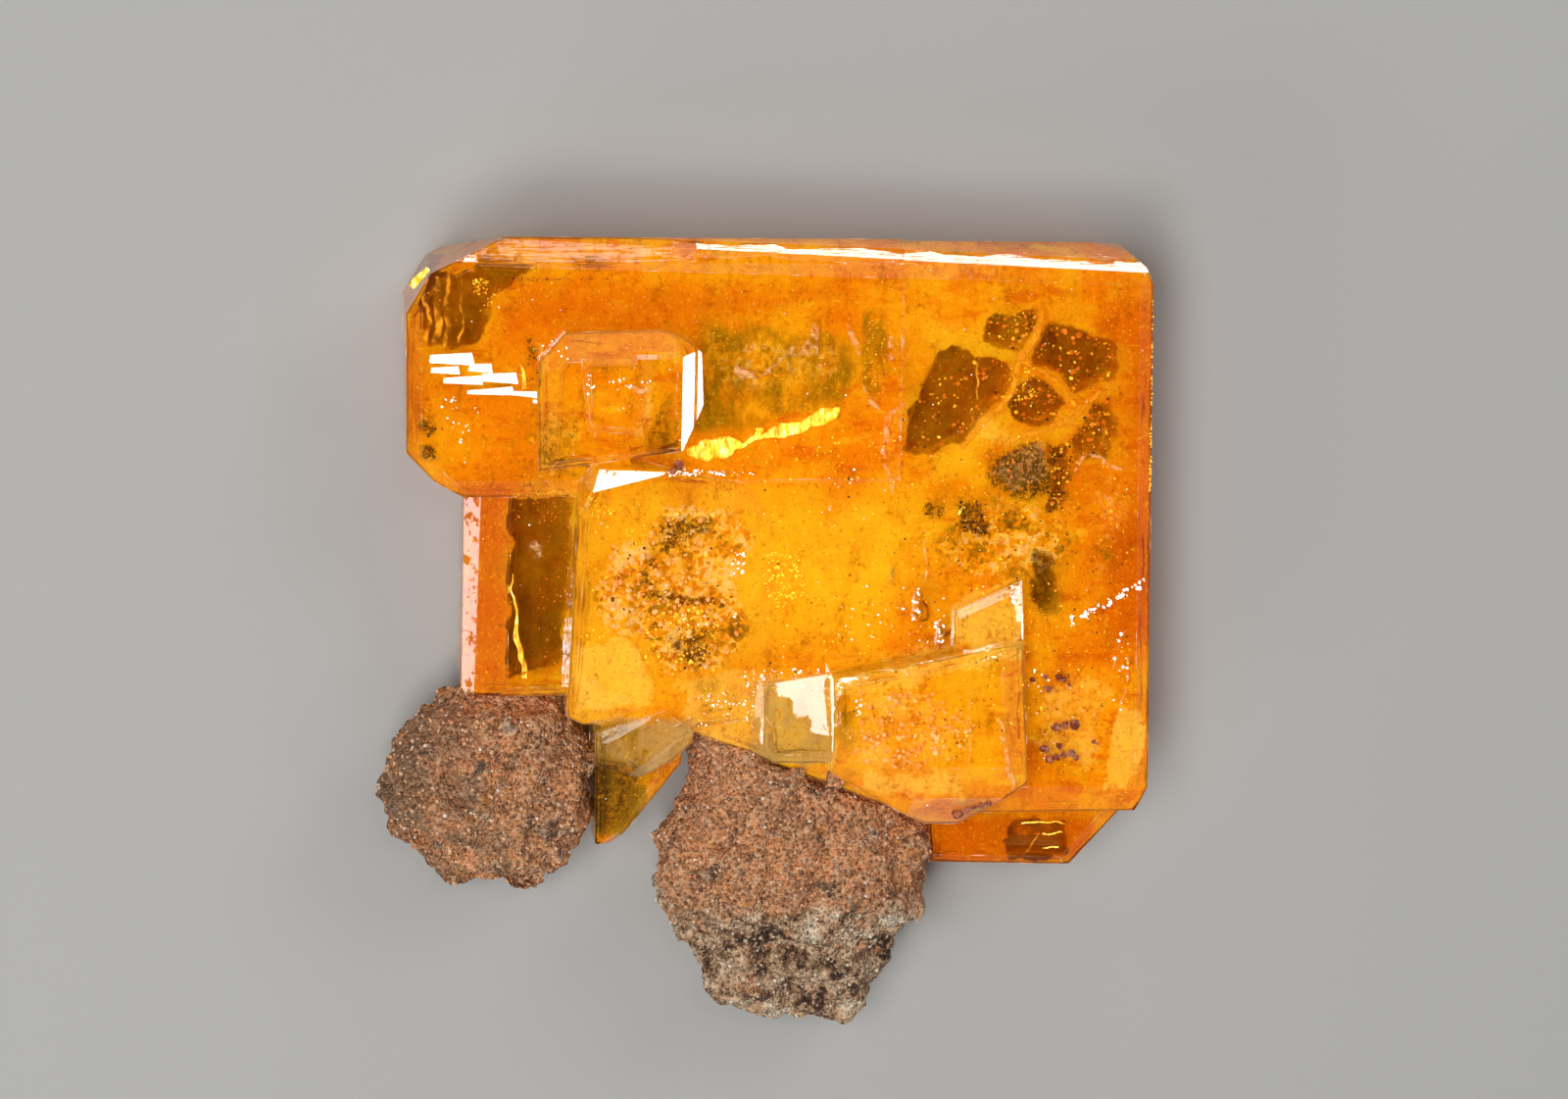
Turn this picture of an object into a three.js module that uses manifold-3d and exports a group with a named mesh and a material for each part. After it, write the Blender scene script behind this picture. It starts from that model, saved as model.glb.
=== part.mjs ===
// Wulfenite: thick tabular crystals of lead molybdate grown together, with two lumps of iron-stained matrix
// at their lower edge.
//
// Millimetres, +Z up. The specimen lies on its back: the big back face of the crystals and the flats under
// the two lumps are on the plane Z = 0, and the big front face looks up. +X runs along the long upper edge
// and +Y points to it. The origin is under the middle of the whole specimen.
//
// A crystal is the space inside its faces. Each face is a plane, given as a crystallographer gives it: which
// way it looks (azimuth, in degrees from +X towards +Y), how far it leans up (0 for an upright prism face,
// 90 for the flat front face, below 0 for a bevel on the back) and how far it stands from the crystal's
// centre (its reach).
import * as THREE from "three";
import { ConvexGeometry } from "three/addons/geometries/ConvexGeometry.js";
import { ImprovedNoise } from "three/addons/math/ImprovedNoise.js";
import { mergeVertices } from "three/addons/utils/BufferGeometryUtils.js";
import Module from "manifold-3d";

const wasm = await Module();
wasm.setup();

// ---- Driving dimensions ----

const PLATE_FRONT = 5.75; // height of the main front face, and so the thickness of the plate
const GROWTH_STEP = 0.06; // how far the right crystal's front face lies under the upper crystal's
const BACK_BEVEL = 0.35; // height of the bevel round each back face
const MATRIX_GAP = 0.08; // clearance between the matrix and the crystals that grew on it
const TABLE_LEAN = 70; // lean of the broad bevels round the front faces
const PYRAMID_LEAN = 50; // lean of the narrow, steeper bevels outside them

const RING_POINTS = 68; // points round each ring of a matrix lump
const CROWN_RINGS = 18; // rings from a lump's widest ring to its top
const BELLY_RINGS = 7; // rings from its widest ring down to its flat
const CROWN_RISE = 0.85; // how soon a lump's side rises over its widest ring: 1 is round, less is steeper
const CROWN_BREADTH = 0.6; // how broad its top is: 1 is round, less is flatter
const SIDE_RELIEF = 0.5; // share of the rock's relief that shows on a lump's sides
const RELIEF = [
  [2.6, 0.42],
  [1.1, 0.22],
  [0.55, 0.13],
]; // [size, height] of the unevenness of broken rock, from coarse to fine

// A broad bevel and a steep one, as [how high it rises, its lean, its turn from the side under it].
const broad = (rise, turn = 0) => [rise, TABLE_LEAN, turn];
const steep = (rise, turn = 0) => [rise, PYRAMID_LEAN, turn];

// ---- Crystals ----

// The long upper edge that the two halves of the plate share: a face that leans in towards the back, and
// over it a narrow bevel, a steep one that tapers to the left, and a broad one.
const UPPER_EDGE = [
  { azimuth: 90.3, lean: -13, through: [-12.3, 16.4, 5.35] },
  { azimuth: 88, lean: 20, through: [-4.15, 16.32, 5.17] },
  { azimuth: 88, lean: PYRAMID_LEAN, through: [-4.15, 16.04, 5.4] },
  { azimuth: 88.7, lean: TABLE_LEAN, through: [-13.85, 15.33, 5.75] },
];

// Each side is [azimuth, reach, ...bevels from the side to the front face]. tip is [azimuth, degrees]: which
// way and how far the front face slopes down. facets are single faces through a point, and facetInset moves
// them in.
const CRYSTALS = [
  {
    // Upper left of the plate, as far as the step in the middle of it.
    centre: [-3.7, 11.1],
    back: 0,
    front: PLATE_FRONT,
    facets: UPPER_EDGE,
    sides: [
      [117, 8.05, broad(0.2)],
      [149.5, 10.74, broad(0.16)],
      [180.5, 11.12, broad(0.22)],
      [224, 10.32, broad(0.2)],
      [241, 8.79, broad(0.16)],
      [270.5, 5.1, broad(0.25)],
      [0, 8.7, broad(0.03)],
    ],
  },
  {
    // Right half of the plate, full height, with rounded upper and lower right corners.
    centre: [5.5, 5.1],
    back: 0,
    front: PLATE_FRONT - GROWTH_STEP,
    facets: UPPER_EDGE,
    facetInset: GROWTH_STEP,
    sides: [
      [79, 12.2, steep(0.24), broad(0.16)],
      [51, 13.8, broad(0.2)],
      [23.5, 12.6, broad(0.2)],
      [1.5, 9.82, broad(0.21)],
      [334, 14.05, broad(0.3)],
      [270.5, 12.38, broad(0.42)],
      [248.5, 11.4, broad(0.2)],
      [181, 8.84, broad(0.1)],
    ],
  },
  {
    // Lower left, with its front face a step further back and a bright upright strip down its left side.
    centre: [-5.9, 5.3],
    back: 0.3,
    front: 5.05,
    sides: [
      [179.6, 6.52, steep(0.53, -0.6), broad(0.43)],
      [213.5, 9.6, steep(0.2), broad(0.2)],
      [271, 7.6, broad(0.14)],
      [0, 6.5],
      [90, 8.4],
    ],
  },
  {
    // Small plate on the front face, upper left of the middle.
    centre: [-6.5, 10.4],
    back: 5.2,
    front: 6.75,
    tip: [300, 1.2],
    sides: [
      [92, 2.41, [0.47, 68, -1.2]],
      [71, 2.92, [0.4, 66, 0]],
      [43.5, 3.5, broad(0.3)],
      [3.1, 3.44, steep(0.25, -4.3), broad(0.2, -6), [0.05, 80, -9]],
      [334.6, 3.39],
      [278.4, 2.72, broad(0.08)],
      [180.7, 3.1, broad(0.32)],
      [139, 3.1, [0.52, 58, 0]],
    ],
  },
  {
    // Thin terrace on that plate.
    centre: [-6.5, 10.3],
    back: 6.3,
    front: 6.89,
    tip: [300, 1.2],
    sides: [
      [90, 1.45, broad(0.08)],
      [353, 1.2, broad(0.12)],
      [265.6, 1.5, broad(0.08)],
      [185.3, 1.3, broad(0.1)],
    ],
  },
  {
    // Large plate low in the middle. Its front face slopes down to the right until it meets the main face.
    centre: [-4.4, 2.1],
    back: 4.8,
    front: 6.62,
    tip: [0, 12],
    sides: [
      [83.8, 5.3],
      [76.5, 5.05],
      [32.3, 5.58, broad(0.08)],
      [151.8, 5.2],
      [177.6, 3.78, broad(0.2, -2)],
      [194.3, 4.99, broad(0.14)],
      [240.7, 6.2, broad(0.14)],
      [268.2, 5.36, broad(0.12)],
      [277, 5.61],
      [1.2, 6],
    ],
    facets: [
      { azimuth: 84, lean: 20, through: [-3.85, 7.43, 5.75] },
      { azimuth: 67, lean: TABLE_LEAN, through: [-4.34, 7.13, 6.61] },
      { azimuth: 151.8, lean: 26, through: [-8.98, 4.56, 6.4] },
    ],
  },
  {
    // Lower right plate: a long slanting upper edge, a column down its right side and two bevels under it.
    centre: [6.3, -3.1],
    back: 5.3,
    front: 7.3,
    sides: [
      [101, 2.64, broad(0.14)],
      [3.5, 3.95, broad(0.36)],
      [307.3, 4.45, broad(0.36)],
      [269.7, 4.5, steep(1.15), [0.45, 72, 0]],
      [240.4, 3.86, steep(0.8), [0.4, 72, 0]],
      [181.4, 3.91, broad(0.1)],
    ],
  },
  {
    // Small plate behind its upper right corner, with a corner facet.
    centre: [8.7, 1.2],
    back: 5.2,
    front: 6.35,
    tip: [115, 5],
    sides: [
      [115, 0.77, broad(0.1)],
      [2.7, 1.4, steep(0.08), broad(0.06)],
      [269.8, 2.55],
      [181, 1.4, steep(0.15)],
    ],
    facets: [{ azimuth: 21, lean: TABLE_LEAN, through: [9.96, 1.45, 6.3] }],
  },
  {
    // Pale stub between the two big plates. Its upper half leans back.
    centre: [1.2, -3.5],
    back: 4.9,
    front: 6.55,
    tip: [250, 4],
    sides: [
      [98.4, 2.04],
      [1.4, 1.5],
      [269.7, 1.35, broad(0.12)],
      [214, 1.72, broad(0.12)],
      [180, 1.57, broad(0.1)],
    ],
    facets: [{ azimuth: 82, lean: 73, through: [1.2, -3.3, 6.5] }],
  },
  {
    // Whitish broken piece under the large plate.
    centre: [-5.2, -3.8],
    back: 3,
    front: 7,
    tip: [330, 7],
    sides: [
      [107.9, 0.95, broad(0.1)],
      [53.5, 1.45, broad(0.16)],
      [356.4, 1.98, broad(0.18)],
      [312.1, 1.45, steep(0.5)],
      [294.2, 1.34, steep(0.35)],
      [252.9, 1.54, broad(0.2)],
      [180.8, 2, broad(0.1)],
    ],
  },
  {
    // Amber tongue below it, in the gap between the two lumps.
    centre: [-5.5, -6],
    back: 1.2,
    front: 4.5,
    tip: [290, 10],
    sides: [
      [89.8, 2.2],
      [354.6, 1.94],
      [322, 1.24, steep(0.3)],
      [303.9, 1.83, steep(0.25)],
      [272, 2.76],
      [180.8, 1.5],
    ],
  },
  {
    // Crystal behind the lower edge, on the right.
    centre: [9.7, -6.3],
    back: 0.4,
    front: 4.3,
    sides: [
      [268.7, 3.39, broad(0.12)],
      [318.6, 4.54, broad(0.2)],
      [2.1, 4.93, broad(0.1)],
      [89.8, 2.37],
      [181.6, 2.95],
    ],
  },
];

// Low ledges where growth layers end on the main face: [x, y, half length, half width, azimuth it leans to].
// Most lie in a broken band across the upper left.
const LEDGE_RISE = 0.26; // how far a ledge's high edge stands over the face
const LEDGE_TIP = 15; // slope of its top, in degrees
const LEDGE_SKEW = 3; // how far its outline is out of square, in degrees
const LEDGES = [
  [-13.05, 11.6, 0.85, 0.2, 90],
  [-13.3, 11.15, 0.55, 0.13, 90],
  [-11.9, 11.25, 0.45, 0.16, 88],
  [-12.6, 10.75, 0.75, 0.14, 91],
  [-11.15, 10.85, 0.7, 0.18, 89],
  [-11.5, 10.3, 0.9, 0.12, 92],
  [-9.95, 10.2, 0.9, 0.11, 86],
  [-9.3, 9.9, 0.5, 0.09, 88],
  [5.8, 1.6, 0.55, 0.12, 2],
  [6.8, 0.4, 0.42, 0.12, 355],
  [3.45, -2.4, 0.36, 0.11, 350],
  [4.75, 2.9, 0.3, 0.08, 5],
];

// ---- Matrix ----

// Each lump is an outline seen from the front, swept up to a crown and down to a flat. Its steps are lines
// across the front where the rock drops: [x, y, azimuth of the lower ground, drop, width]. Its pits are
// [x, y, radius, depth], and a pit with a negative depth is a knob.
const LUMPS = {
  matrix_lump_left: {
    colour: 0x7a4a36,
    heart: [-11.2, -6.7],
    girdle: 2.5,
    crown: 5.35,
    flat: 0.74,
    outline: [
      [-10.9, -2.2],
      [-12.3, -2.5],
      [-13.8, -3.6],
      [-15.23, -5.2],
      [-15.62, -7.03],
      [-15.2, -8.35],
      [-14, -9.6],
      [-12.4, -10.7],
      [-10.9, -10.4],
      [-9.4, -11.15],
      [-8.2, -9.95],
      [-6.8, -8.3],
      [-6.68, -6.4],
      [-7.05, -4.75],
      [-7.9, -3.5],
      [-8.8, -2.2],
    ],
    steps: [
      [-12.5, -9, 245, 0.75, 1],
      [-9.6, -9.6, 285, 0.7, 0.9],
    ],
    pits: [
      [-10.3, -6.6, 0.9, 0.55],
      [-13.3, -6.2, 0.8, 0.35],
      [-9.2, -4.6, 0.7, 0.3],
      [-12.2, -5, 1.1, -0.3],
      [-8.3, -7.4, 0.8, -0.35],
    ],
    seed: 3.7,
  },
  matrix_lump_centre: {
    colour: 0x80503c,
    heart: [1.2, -9.9],
    girdle: 2.6,
    crown: 6.1,
    flat: 0.76,
    outline: [
      [0.9, -3],
      [-2.2, -3.5],
      [-3.1, -5.1],
      [-3.3, -6.7],
      [-4.2, -8.8],
      [-4.35, -10.7],
      [-3.75, -12.3],
      [-2.65, -14.2],
      [-1.85, -15.8],
      [-0.2, -16.5],
      [0.75, -16.75],
      [1.5, -16.4],
      [3.4, -16.7],
      [4.5, -16.1],
      [5.25, -14.35],
      [6.55, -12.2],
      [6.6, -10.8],
      [7.1, -8.6],
      [6.3, -7.2],
      [4.6, -5.2],
    ],
    steps: [
      [-0.6, -12.1, 262, 0.85, 1],
      [4.2, -12.9, 300, 0.5, 0.9],
    ],
    pits: [
      [0.9, -13.4, 0.8, 0.4],
      [3.1, -14.2, 0.9, -0.4],
      [-0.6, -14.9, 0.9, -0.35],
      [-2, -8.2, 1.2, -0.2],
      [2.7, -8.6, 1.3, 0.25],
      [4.7, -10.6, 0.9, -0.25],
    ],
    seed: 11.2,
  },
};

// ---- Solids ----

// The solid of a closed geometry, its shared vertices merged.
function solidOf(geometry) {
  const bare = new THREE.BufferGeometry().setAttribute("position", geometry.getAttribute("position"));
  if (geometry.index) bare.setIndex(geometry.index);
  const merged = mergeVertices(bare, 1e-4);
  return new wasm.Manifold(
    new wasm.Mesh({
      numProp: 3,
      vertProperties: merged.attributes.position.array,
      triVerts: new Uint32Array(merged.index.array),
    }),
  );
}

// The geometry of a solid, with flat faces.
function geometryOf(solid) {
  const mesh = solid.getMesh();
  const positions = new Float32Array(mesh.numVert * 3);
  for (let i = 0; i < mesh.numVert; i++) {
    positions.set(mesh.vertProperties.subarray(i * mesh.numProp, i * mesh.numProp + 3), i * 3);
  }
  return new THREE.BufferGeometry()
    .setAttribute("position", new THREE.BufferAttribute(positions, 3))
    .setIndex(new THREE.BufferAttribute(mesh.triVerts, 1));
}

const radians = THREE.MathUtils.degToRad;

// The plane of the face that looks along azimuth and lean, through a point.
function planeThrough(azimuth, lean, x, y, z) {
  const level = Math.cos(radians(lean));
  const normal = new THREE.Vector3(
    Math.cos(radians(azimuth)) * level,
    Math.sin(radians(azimuth)) * level,
    Math.sin(radians(lean)),
  );
  return new THREE.Plane().setFromNormalAndCoplanarPoint(normal, new THREE.Vector3(x, y, z));
}

// The same, through the point that lies at the face's reach from a centre, at a height.
function facePlane([x, y], azimuth, lean, reach, height) {
  const a = radians(azimuth);
  return planeThrough(azimuth, lean, x + reach * Math.cos(a), y + reach * Math.sin(a), height);
}

// All the planes of a crystal: back, front, sides, the bevels over and under each side, and its own facets.
function facePlanes({ centre, back, front, tip = [0, 0], sides, facets = [], facetInset = 0 }) {
  const [tipAzimuth, tipDegrees] = tip;
  const slope = Math.tan(radians(tipDegrees));
  const planes = [
    facePlane(centre, 0, -90, 0, back),
    facePlane(centre, tipAzimuth, 90 - tipDegrees, 0, front),
  ];
  for (const [azimuth, reach, ...bevels] of sides) {
    planes.push(facePlane(centre, azimuth, 0, reach, 0));
    planes.push(facePlane(centre, azimuth, -45, reach, back + BACK_BEVEL));
    const rises = bevels.reduce((sum, [rise]) => sum + rise, 0);
    const fall = slope * reach * Math.cos(radians(azimuth - tipAzimuth));
    let edge = reach;
    let height = front - fall - rises;
    for (const [rise, lean, turn] of bevels) {
      planes.push(facePlane(centre, azimuth + turn, lean, edge, height));
      edge -= rise * Math.tan(radians(lean));
      height += rise;
    }
  }
  for (const { azimuth, lean, through } of facets) {
    const plane = planeThrough(azimuth, lean, ...through);
    plane.constant += facetInset;
    planes.push(plane);
  }
  return planes;
}

const ON_PLANE = 1e-6; // a point this close to a plane lies on it

// The convex solid inside a set of planes, each moved outwards by grow.
function insidePlanes(planes, grow = 0) {
  const moved = planes.map((plane) => new THREE.Plane(plane.normal, plane.constant - grow));
  const corners = new Map();
  const cross = (a, b) => new THREE.Vector3().crossVectors(a.normal, b.normal);
  for (let i = 0; i < moved.length; i++) {
    for (let j = i + 1; j < moved.length; j++) {
      for (let k = j + 1; k < moved.length; k++) {
        const [a, b, c] = [moved[i], moved[j], moved[k]];
        const volume = a.normal.dot(cross(b, c));
        if (Math.abs(volume) < ON_PLANE) continue;
        const corner = cross(b, c)
          .multiplyScalar(-a.constant)
          .addScaledVector(cross(c, a), -b.constant)
          .addScaledVector(cross(a, b), -c.constant)
          .divideScalar(volume);
        if (moved.some((plane) => plane.distanceToPoint(corner) > ON_PLANE)) continue;
        corners.set(corner.toArray().map((v) => v.toFixed(4)).join(), corner);
      }
    }
  }
  return solidOf(new ConvexGeometry([...corners.values()]));
}

// The planes of one low ledge. Its foot is sunk into the main face.
function ledgePlanes([x, y, halfLength, halfWidth, azimuth]) {
  const top = PLATE_FRONT + LEDGE_RISE - halfWidth * Math.tan(radians(LEDGE_TIP));
  return [
    facePlane([x, y], 0, -90, 0, PLATE_FRONT - LEDGE_RISE),
    facePlane([x, y], azimuth, 90 - LEDGE_TIP, 0, top),
    facePlane([x, y], azimuth + LEDGE_SKEW, 0, halfWidth, 0),
    facePlane([x, y], azimuth - LEDGE_SKEW + 180, 0, halfWidth, 0),
    facePlane([x, y], azimuth + 4 * LEDGE_SKEW - 90, 0, halfLength, 0),
    facePlane([x, y], azimuth - 3 * LEDGE_SKEW + 90, 0, halfLength, 0),
  ];
}

const ALL_PLANES = [...CRYSTALS.map(facePlanes), ...LEDGES.map(ledgePlanes)];
const joined = (grow) => wasm.Manifold.union(ALL_PLANES.map((planes) => insidePlanes(planes, grow)));

const noise = new ImprovedNoise();

// Unevenness of broken rock at a place.
function relief(x, y, z, seed) {
  let sum = 0;
  for (const [size, height] of RELIEF) {
    sum += height * noise.noise(x / size + seed, y / size - seed, z / size + 2 * seed);
  }
  return sum;
}

// How far the front of a lump is lowered at a place by its steps and pits.
function lowering(x, y, { steps, pits }) {
  let drop = 0;
  for (const [sx, sy, azimuth, height, width] of steps) {
    const a = radians(azimuth);
    const past = (x - sx) * Math.cos(a) + (y - sy) * Math.sin(a);
    drop += height * THREE.MathUtils.smoothstep(past, -width / 2, width / 2);
  }
  for (const [px, py, radius, depth] of pits) {
    drop += depth * Math.exp(-(((x - px) ** 2 + (y - py) ** 2) / radius ** 2));
  }
  return drop;
}

// One lump of matrix, from rings of points: flat, belly, widest ring, crown. The crystals it carries cut it.
function lumpGeometry({ outline, heart, girdle, crown, flat, seed, ...features }, cutter) {
  const [hx, hy] = heart;
  const curve = new THREE.CatmullRomCurve3(
    outline.map(([x, y]) => new THREE.Vector3(x, y, 0)),
    true,
    "centripetal",
  );
  const rim = curve.getSpacedPoints(RING_POINTS).slice(0, RING_POINTS);
  const positions = [];
  const addPoint = (px, py, height, size, onFront) => {
    const x = hx + (px - hx) * size;
    const y = hy + (py - hy) * size;
    const swell = relief(x, y, height, seed);
    const out = size > 0 ? 1 + (SIDE_RELIEF * swell) / Math.hypot(x - hx, y - hy) : 1;
    const front = onFront ? swell - lowering(x, y, features) * onFront : 0;
    positions.push(hx + (x - hx) * out, hy + (y - hy) * out, height + front);
  };
  for (let r = 0; r < BELLY_RINGS; r++) {
    const t = r / BELLY_RINGS;
    const size = flat + (1 - flat) * Math.sin((t * Math.PI) / 2);
    rim.forEach((p) => addPoint(p.x, p.y, girdle * t, size, 0));
  }
  for (let r = 0; r < CROWN_RINGS; r++) {
    const t = (r / CROWN_RINGS) * (Math.PI / 2);
    const rise = Math.sin(t) ** CROWN_RISE;
    const height = girdle + (crown - girdle) * rise;
    rim.forEach((p) => addPoint(p.x, p.y, height, Math.cos(t) ** CROWN_BREADTH, rise));
  }
  const rings = BELLY_RINGS + CROWN_RINGS;
  const foot = positions.length / 3;
  positions.push(hx, hy, 0);
  addPoint(hx, hy, crown, 0, 1);
  const index = [];
  for (let i = 0; i < RING_POINTS; i++) {
    const next = (i + 1) % RING_POINTS;
    index.push(foot, next, i);
    for (let r = 0; r < rings - 1; r++) {
      const low = r * RING_POINTS;
      const high = low + RING_POINTS;
      index.push(low + i, low + next, high + next, low + i, high + next, high + i);
    }
    const last = (rings - 1) * RING_POINTS;
    index.push(last + i, last + next, foot + 1);
  }
  // The outline runs anticlockwise or clockwise: the winding follows it, so that faces point out.
  const turn = THREE.ShapeUtils.area(outline.map(([x, y]) => new THREE.Vector2(x, y)));
  if (turn < 0) {
    for (let i = 0; i < index.length; i += 3) [index[i + 1], index[i + 2]] = [index[i + 2], index[i + 1]];
  }
  const whole = new THREE.BufferGeometry()
    .setAttribute("position", new THREE.Float32BufferAttribute(positions, 3))
    .setIndex(index);
  const pieces = solidOf(whole).subtract(cutter).decompose();
  return geometryOf(pieces.reduce((a, b) => (a.volume() > b.volume() ? a : b)));
}

// ---- The specimen ----

const specimen = new THREE.Group();

function addPiece(name, geometry, material) {
  const mesh = new THREE.Mesh(geometry, material);
  mesh.name = name;
  specimen.add(mesh);
}

const wulfenite = new THREE.MeshStandardMaterial({ color: 0xf08a12, roughness: 0.08, metalness: 0 });
wulfenite.transparent = true;
wulfenite.opacity = 0.85;
addPiece("wulfenite_crystals", geometryOf(joined(0)), wulfenite);

const cutter = joined(MATRIX_GAP);
for (const [name, lump] of Object.entries(LUMPS)) {
  const rock = new THREE.MeshStandardMaterial({ color: lump.colour, roughness: 0.95, metalness: 0 });
  addPiece(name, lumpGeometry(lump, cutter), rock);
}

// Stand the middle of the specimen over the origin.
specimen.updateMatrixWorld(true);
const middle = new THREE.Box3().setFromObject(specimen).getCenter(new THREE.Vector3());
specimen.position.set(-middle.x, -middle.y, 0);

export default specimen;
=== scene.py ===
# %% [markdown]
# # A wulfenite specimen
#
# Wulfenite is lead molybdate. It grows as thick square plates of a strong orange, with an almost metallic
# lustre because light slows down so much inside it. This specimen is a handful of such plates grown into
# each other, on two lumps of the rusty sandstone they grew on. It lies on its back, and we look down on the
# big front face.
#
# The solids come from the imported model. This lesson gives them their looks: the clear skin of the crystals,
# what is shut inside them, and the rough rock. Lengths are in millimetres until they reach Blender.

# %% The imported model
import math
import random

import bmesh
import bpy
import numpy as np
from mathutils import Matrix, Vector, noise
from mathutils.bvhtree import BVHTree


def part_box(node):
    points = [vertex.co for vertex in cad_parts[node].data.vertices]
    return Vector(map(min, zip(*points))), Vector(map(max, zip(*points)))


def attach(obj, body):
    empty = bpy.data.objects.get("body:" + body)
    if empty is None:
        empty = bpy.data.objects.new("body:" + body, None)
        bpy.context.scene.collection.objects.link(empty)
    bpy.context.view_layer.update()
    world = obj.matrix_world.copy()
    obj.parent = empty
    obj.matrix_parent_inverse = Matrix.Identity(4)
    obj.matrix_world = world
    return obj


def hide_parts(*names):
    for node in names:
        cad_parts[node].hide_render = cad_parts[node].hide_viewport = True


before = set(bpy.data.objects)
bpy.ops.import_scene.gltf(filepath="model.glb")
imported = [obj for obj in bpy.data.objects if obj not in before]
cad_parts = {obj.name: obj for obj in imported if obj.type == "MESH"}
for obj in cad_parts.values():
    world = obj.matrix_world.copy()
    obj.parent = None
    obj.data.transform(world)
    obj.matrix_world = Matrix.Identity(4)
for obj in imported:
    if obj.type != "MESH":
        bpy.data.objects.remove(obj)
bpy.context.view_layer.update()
MM = 0.001
scene = bpy.context.scene
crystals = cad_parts["wulfenite_crystals"]
lumps = {name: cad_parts[name] for name in ("matrix_lump_left", "matrix_lump_centre")}

# %% [markdown]
# Every place below is measured on the crystals themselves: so many millimetres from their left side, from
# their lower edge and up from the table. If the rock changes shape, nothing inside the crystals moves.
# A ray from above finds which face is in front at a place, and how high it is.

# %% Places on the crystals
crystal_low, crystal_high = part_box("wulfenite_crystals")
FACE = 5.69  # height of the main front face, in mm
ABOVE_ALL = 20  # mm, where rays start


def place(x, y, z=0.0):
    """The point x, y and z mm from the crystals' left side, lower edge and back face."""
    return Vector((crystal_low.x + x * MM, crystal_low.y + y * MM, z * MM))


crystal_faces = BVHTree.FromPolygons(
    [v.co for v in crystals.data.vertices],
    [p.vertices[:] for p in crystals.data.polygons],
)


def front(x, y):
    """The point of the front at a place, and its normal. Both are None beside the crystals."""
    return crystal_faces.ray_cast(place(x, y, ABOVE_ALL), Vector((0, 0, -1)))[:2]


def front_height(x, y):
    """The height of the front in mm. Beside the crystals it is that of the main face."""
    point = front(x, y)[0]
    return point.z / MM if point else FACE


print("crystals, mm:", [round(s / MM, 2) for s in crystal_high - crystal_low])
print("front face height, mm:", round(front_height(15, 14), 2))

# %% [markdown]
# ## Nodes as arithmetic
#
# A shader is a formula, so it reads best as one. The class below wraps the output of a node. Adding or
# multiplying two of them adds the Math nodes, and `node` makes any other kind of node, in a material or in
# Geometry Nodes. Every pattern is worked out in millimetres on the object itself, so its grain has a real
# size and stays put when the specimen is turned.

# %% A wire between nodes
class Wire:
    """The output of a node, with Python's operators on it."""

    def __init__(self, tree, socket=None):
        self.tree = tree
        self.socket = socket

    def node(self, kind, settings=None, inputs=None, output=0):
        """Adds a node: its settings first, then the values or wires of its sockets."""
        made = self.tree.nodes.new(kind)
        for name, value in (settings or {}).items():
            setattr(made, name, value)
        for name, value in (inputs or {}).items():
            if isinstance(value, Wire):
                self.tree.links.new(value.socket, made.inputs[name])
            else:
                made.inputs[name].default_value = value
        return Wire(self.tree, made.outputs[output])

    def maths(self, operation, *values):
        return self.node("ShaderNodeMath", {"operation": operation}, dict(enumerate(values)))

    def __add__(self, other):
        return self.maths("ADD", self, other)

    def __radd__(self, other):
        return self.maths("ADD", other, self)

    def __sub__(self, other):
        return self.maths("SUBTRACT", self, other)

    def __rsub__(self, other):
        return self.maths("SUBTRACT", other, self)

    def __mul__(self, other):
        return self.maths("MULTIPLY", self, other)

    def __rmul__(self, other):
        return self.maths("MULTIPLY", other, self)

    def __rtruediv__(self, other):
        return self.maths("DIVIDE", other, self)

    def most(self, other):
        """The larger of the two."""
        return self.maths("MAXIMUM", self, other)

    def ease(self, low, high):
        """0 below low, 1 above high and smooth between them. It falls where low is over high."""
        limits = {"From Min": min(low, high), "From Max": max(low, high), "Value": self}
        if low > high:
            limits.update({"To Min": 1.0, "To Max": 0.0})
        return self.node("ShaderNodeMapRange", {"interpolation_type": "SMOOTHSTEP"}, limits)

    def blend(self, a, b):
        """Colour a where this is 0, colour b where it is 1."""
        colours = {0: self, 6: paint(a), 7: paint(b)}
        return self.node("ShaderNodeMix", {"data_type": "RGBA"}, colours, 2)

    def ramp(self, *stops):
        """A colour from stops in rising order, each a position and a colour."""
        made = self.node("ShaderNodeValToRGB", None, {0: self})
        elements = made.socket.node.color_ramp.elements
        elements.remove(elements[1])
        elements[0].position = stops[0][0]
        elements[0].color = paint(stops[0][1])
        for position, colour in stops[1:]:
            elements.new(position).color = paint(colour)
        return made


# %% Limits and layers
def between(wire, low, high, soft):
    """1 between two limits and 0 outside, with soft edges on the inner side."""
    return wire.ease(low, low + soft) * wire.ease(high, high - soft)


def layered(colour, *layers):
    """Lays colours over the first one. A layer is how much of it there is, and its colour."""
    for amount, over in layers:
        colour = amount.blend(colour, over)
    return colour


def paint(colour):
    """A colour as a socket takes it: a wire stays as it is."""
    return colour if isinstance(colour, Wire) else (*colour, 1)


# %% Patterns with a real size
def ground(tree, stretch=(1, 1, 1)):
    """A point of the piece, in mm from the crystals' corner, with each axis stretched."""
    start = Wire(tree).node("ShaderNodeTexCoord", output="Object")
    scale = tuple(s / MM for s in stretch)
    moved = start.node("ShaderNodeVectorMath", {"operation": "SUBTRACT"}, {0: start, 1: crystal_low})
    return start.node("ShaderNodeVectorMath", {"operation": "MULTIPLY"}, {0: moved, 1: scale})


def axis(point, letter):
    return point.node("ShaderNodeSeparateXYZ", None, {0: point}, letter)


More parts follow.
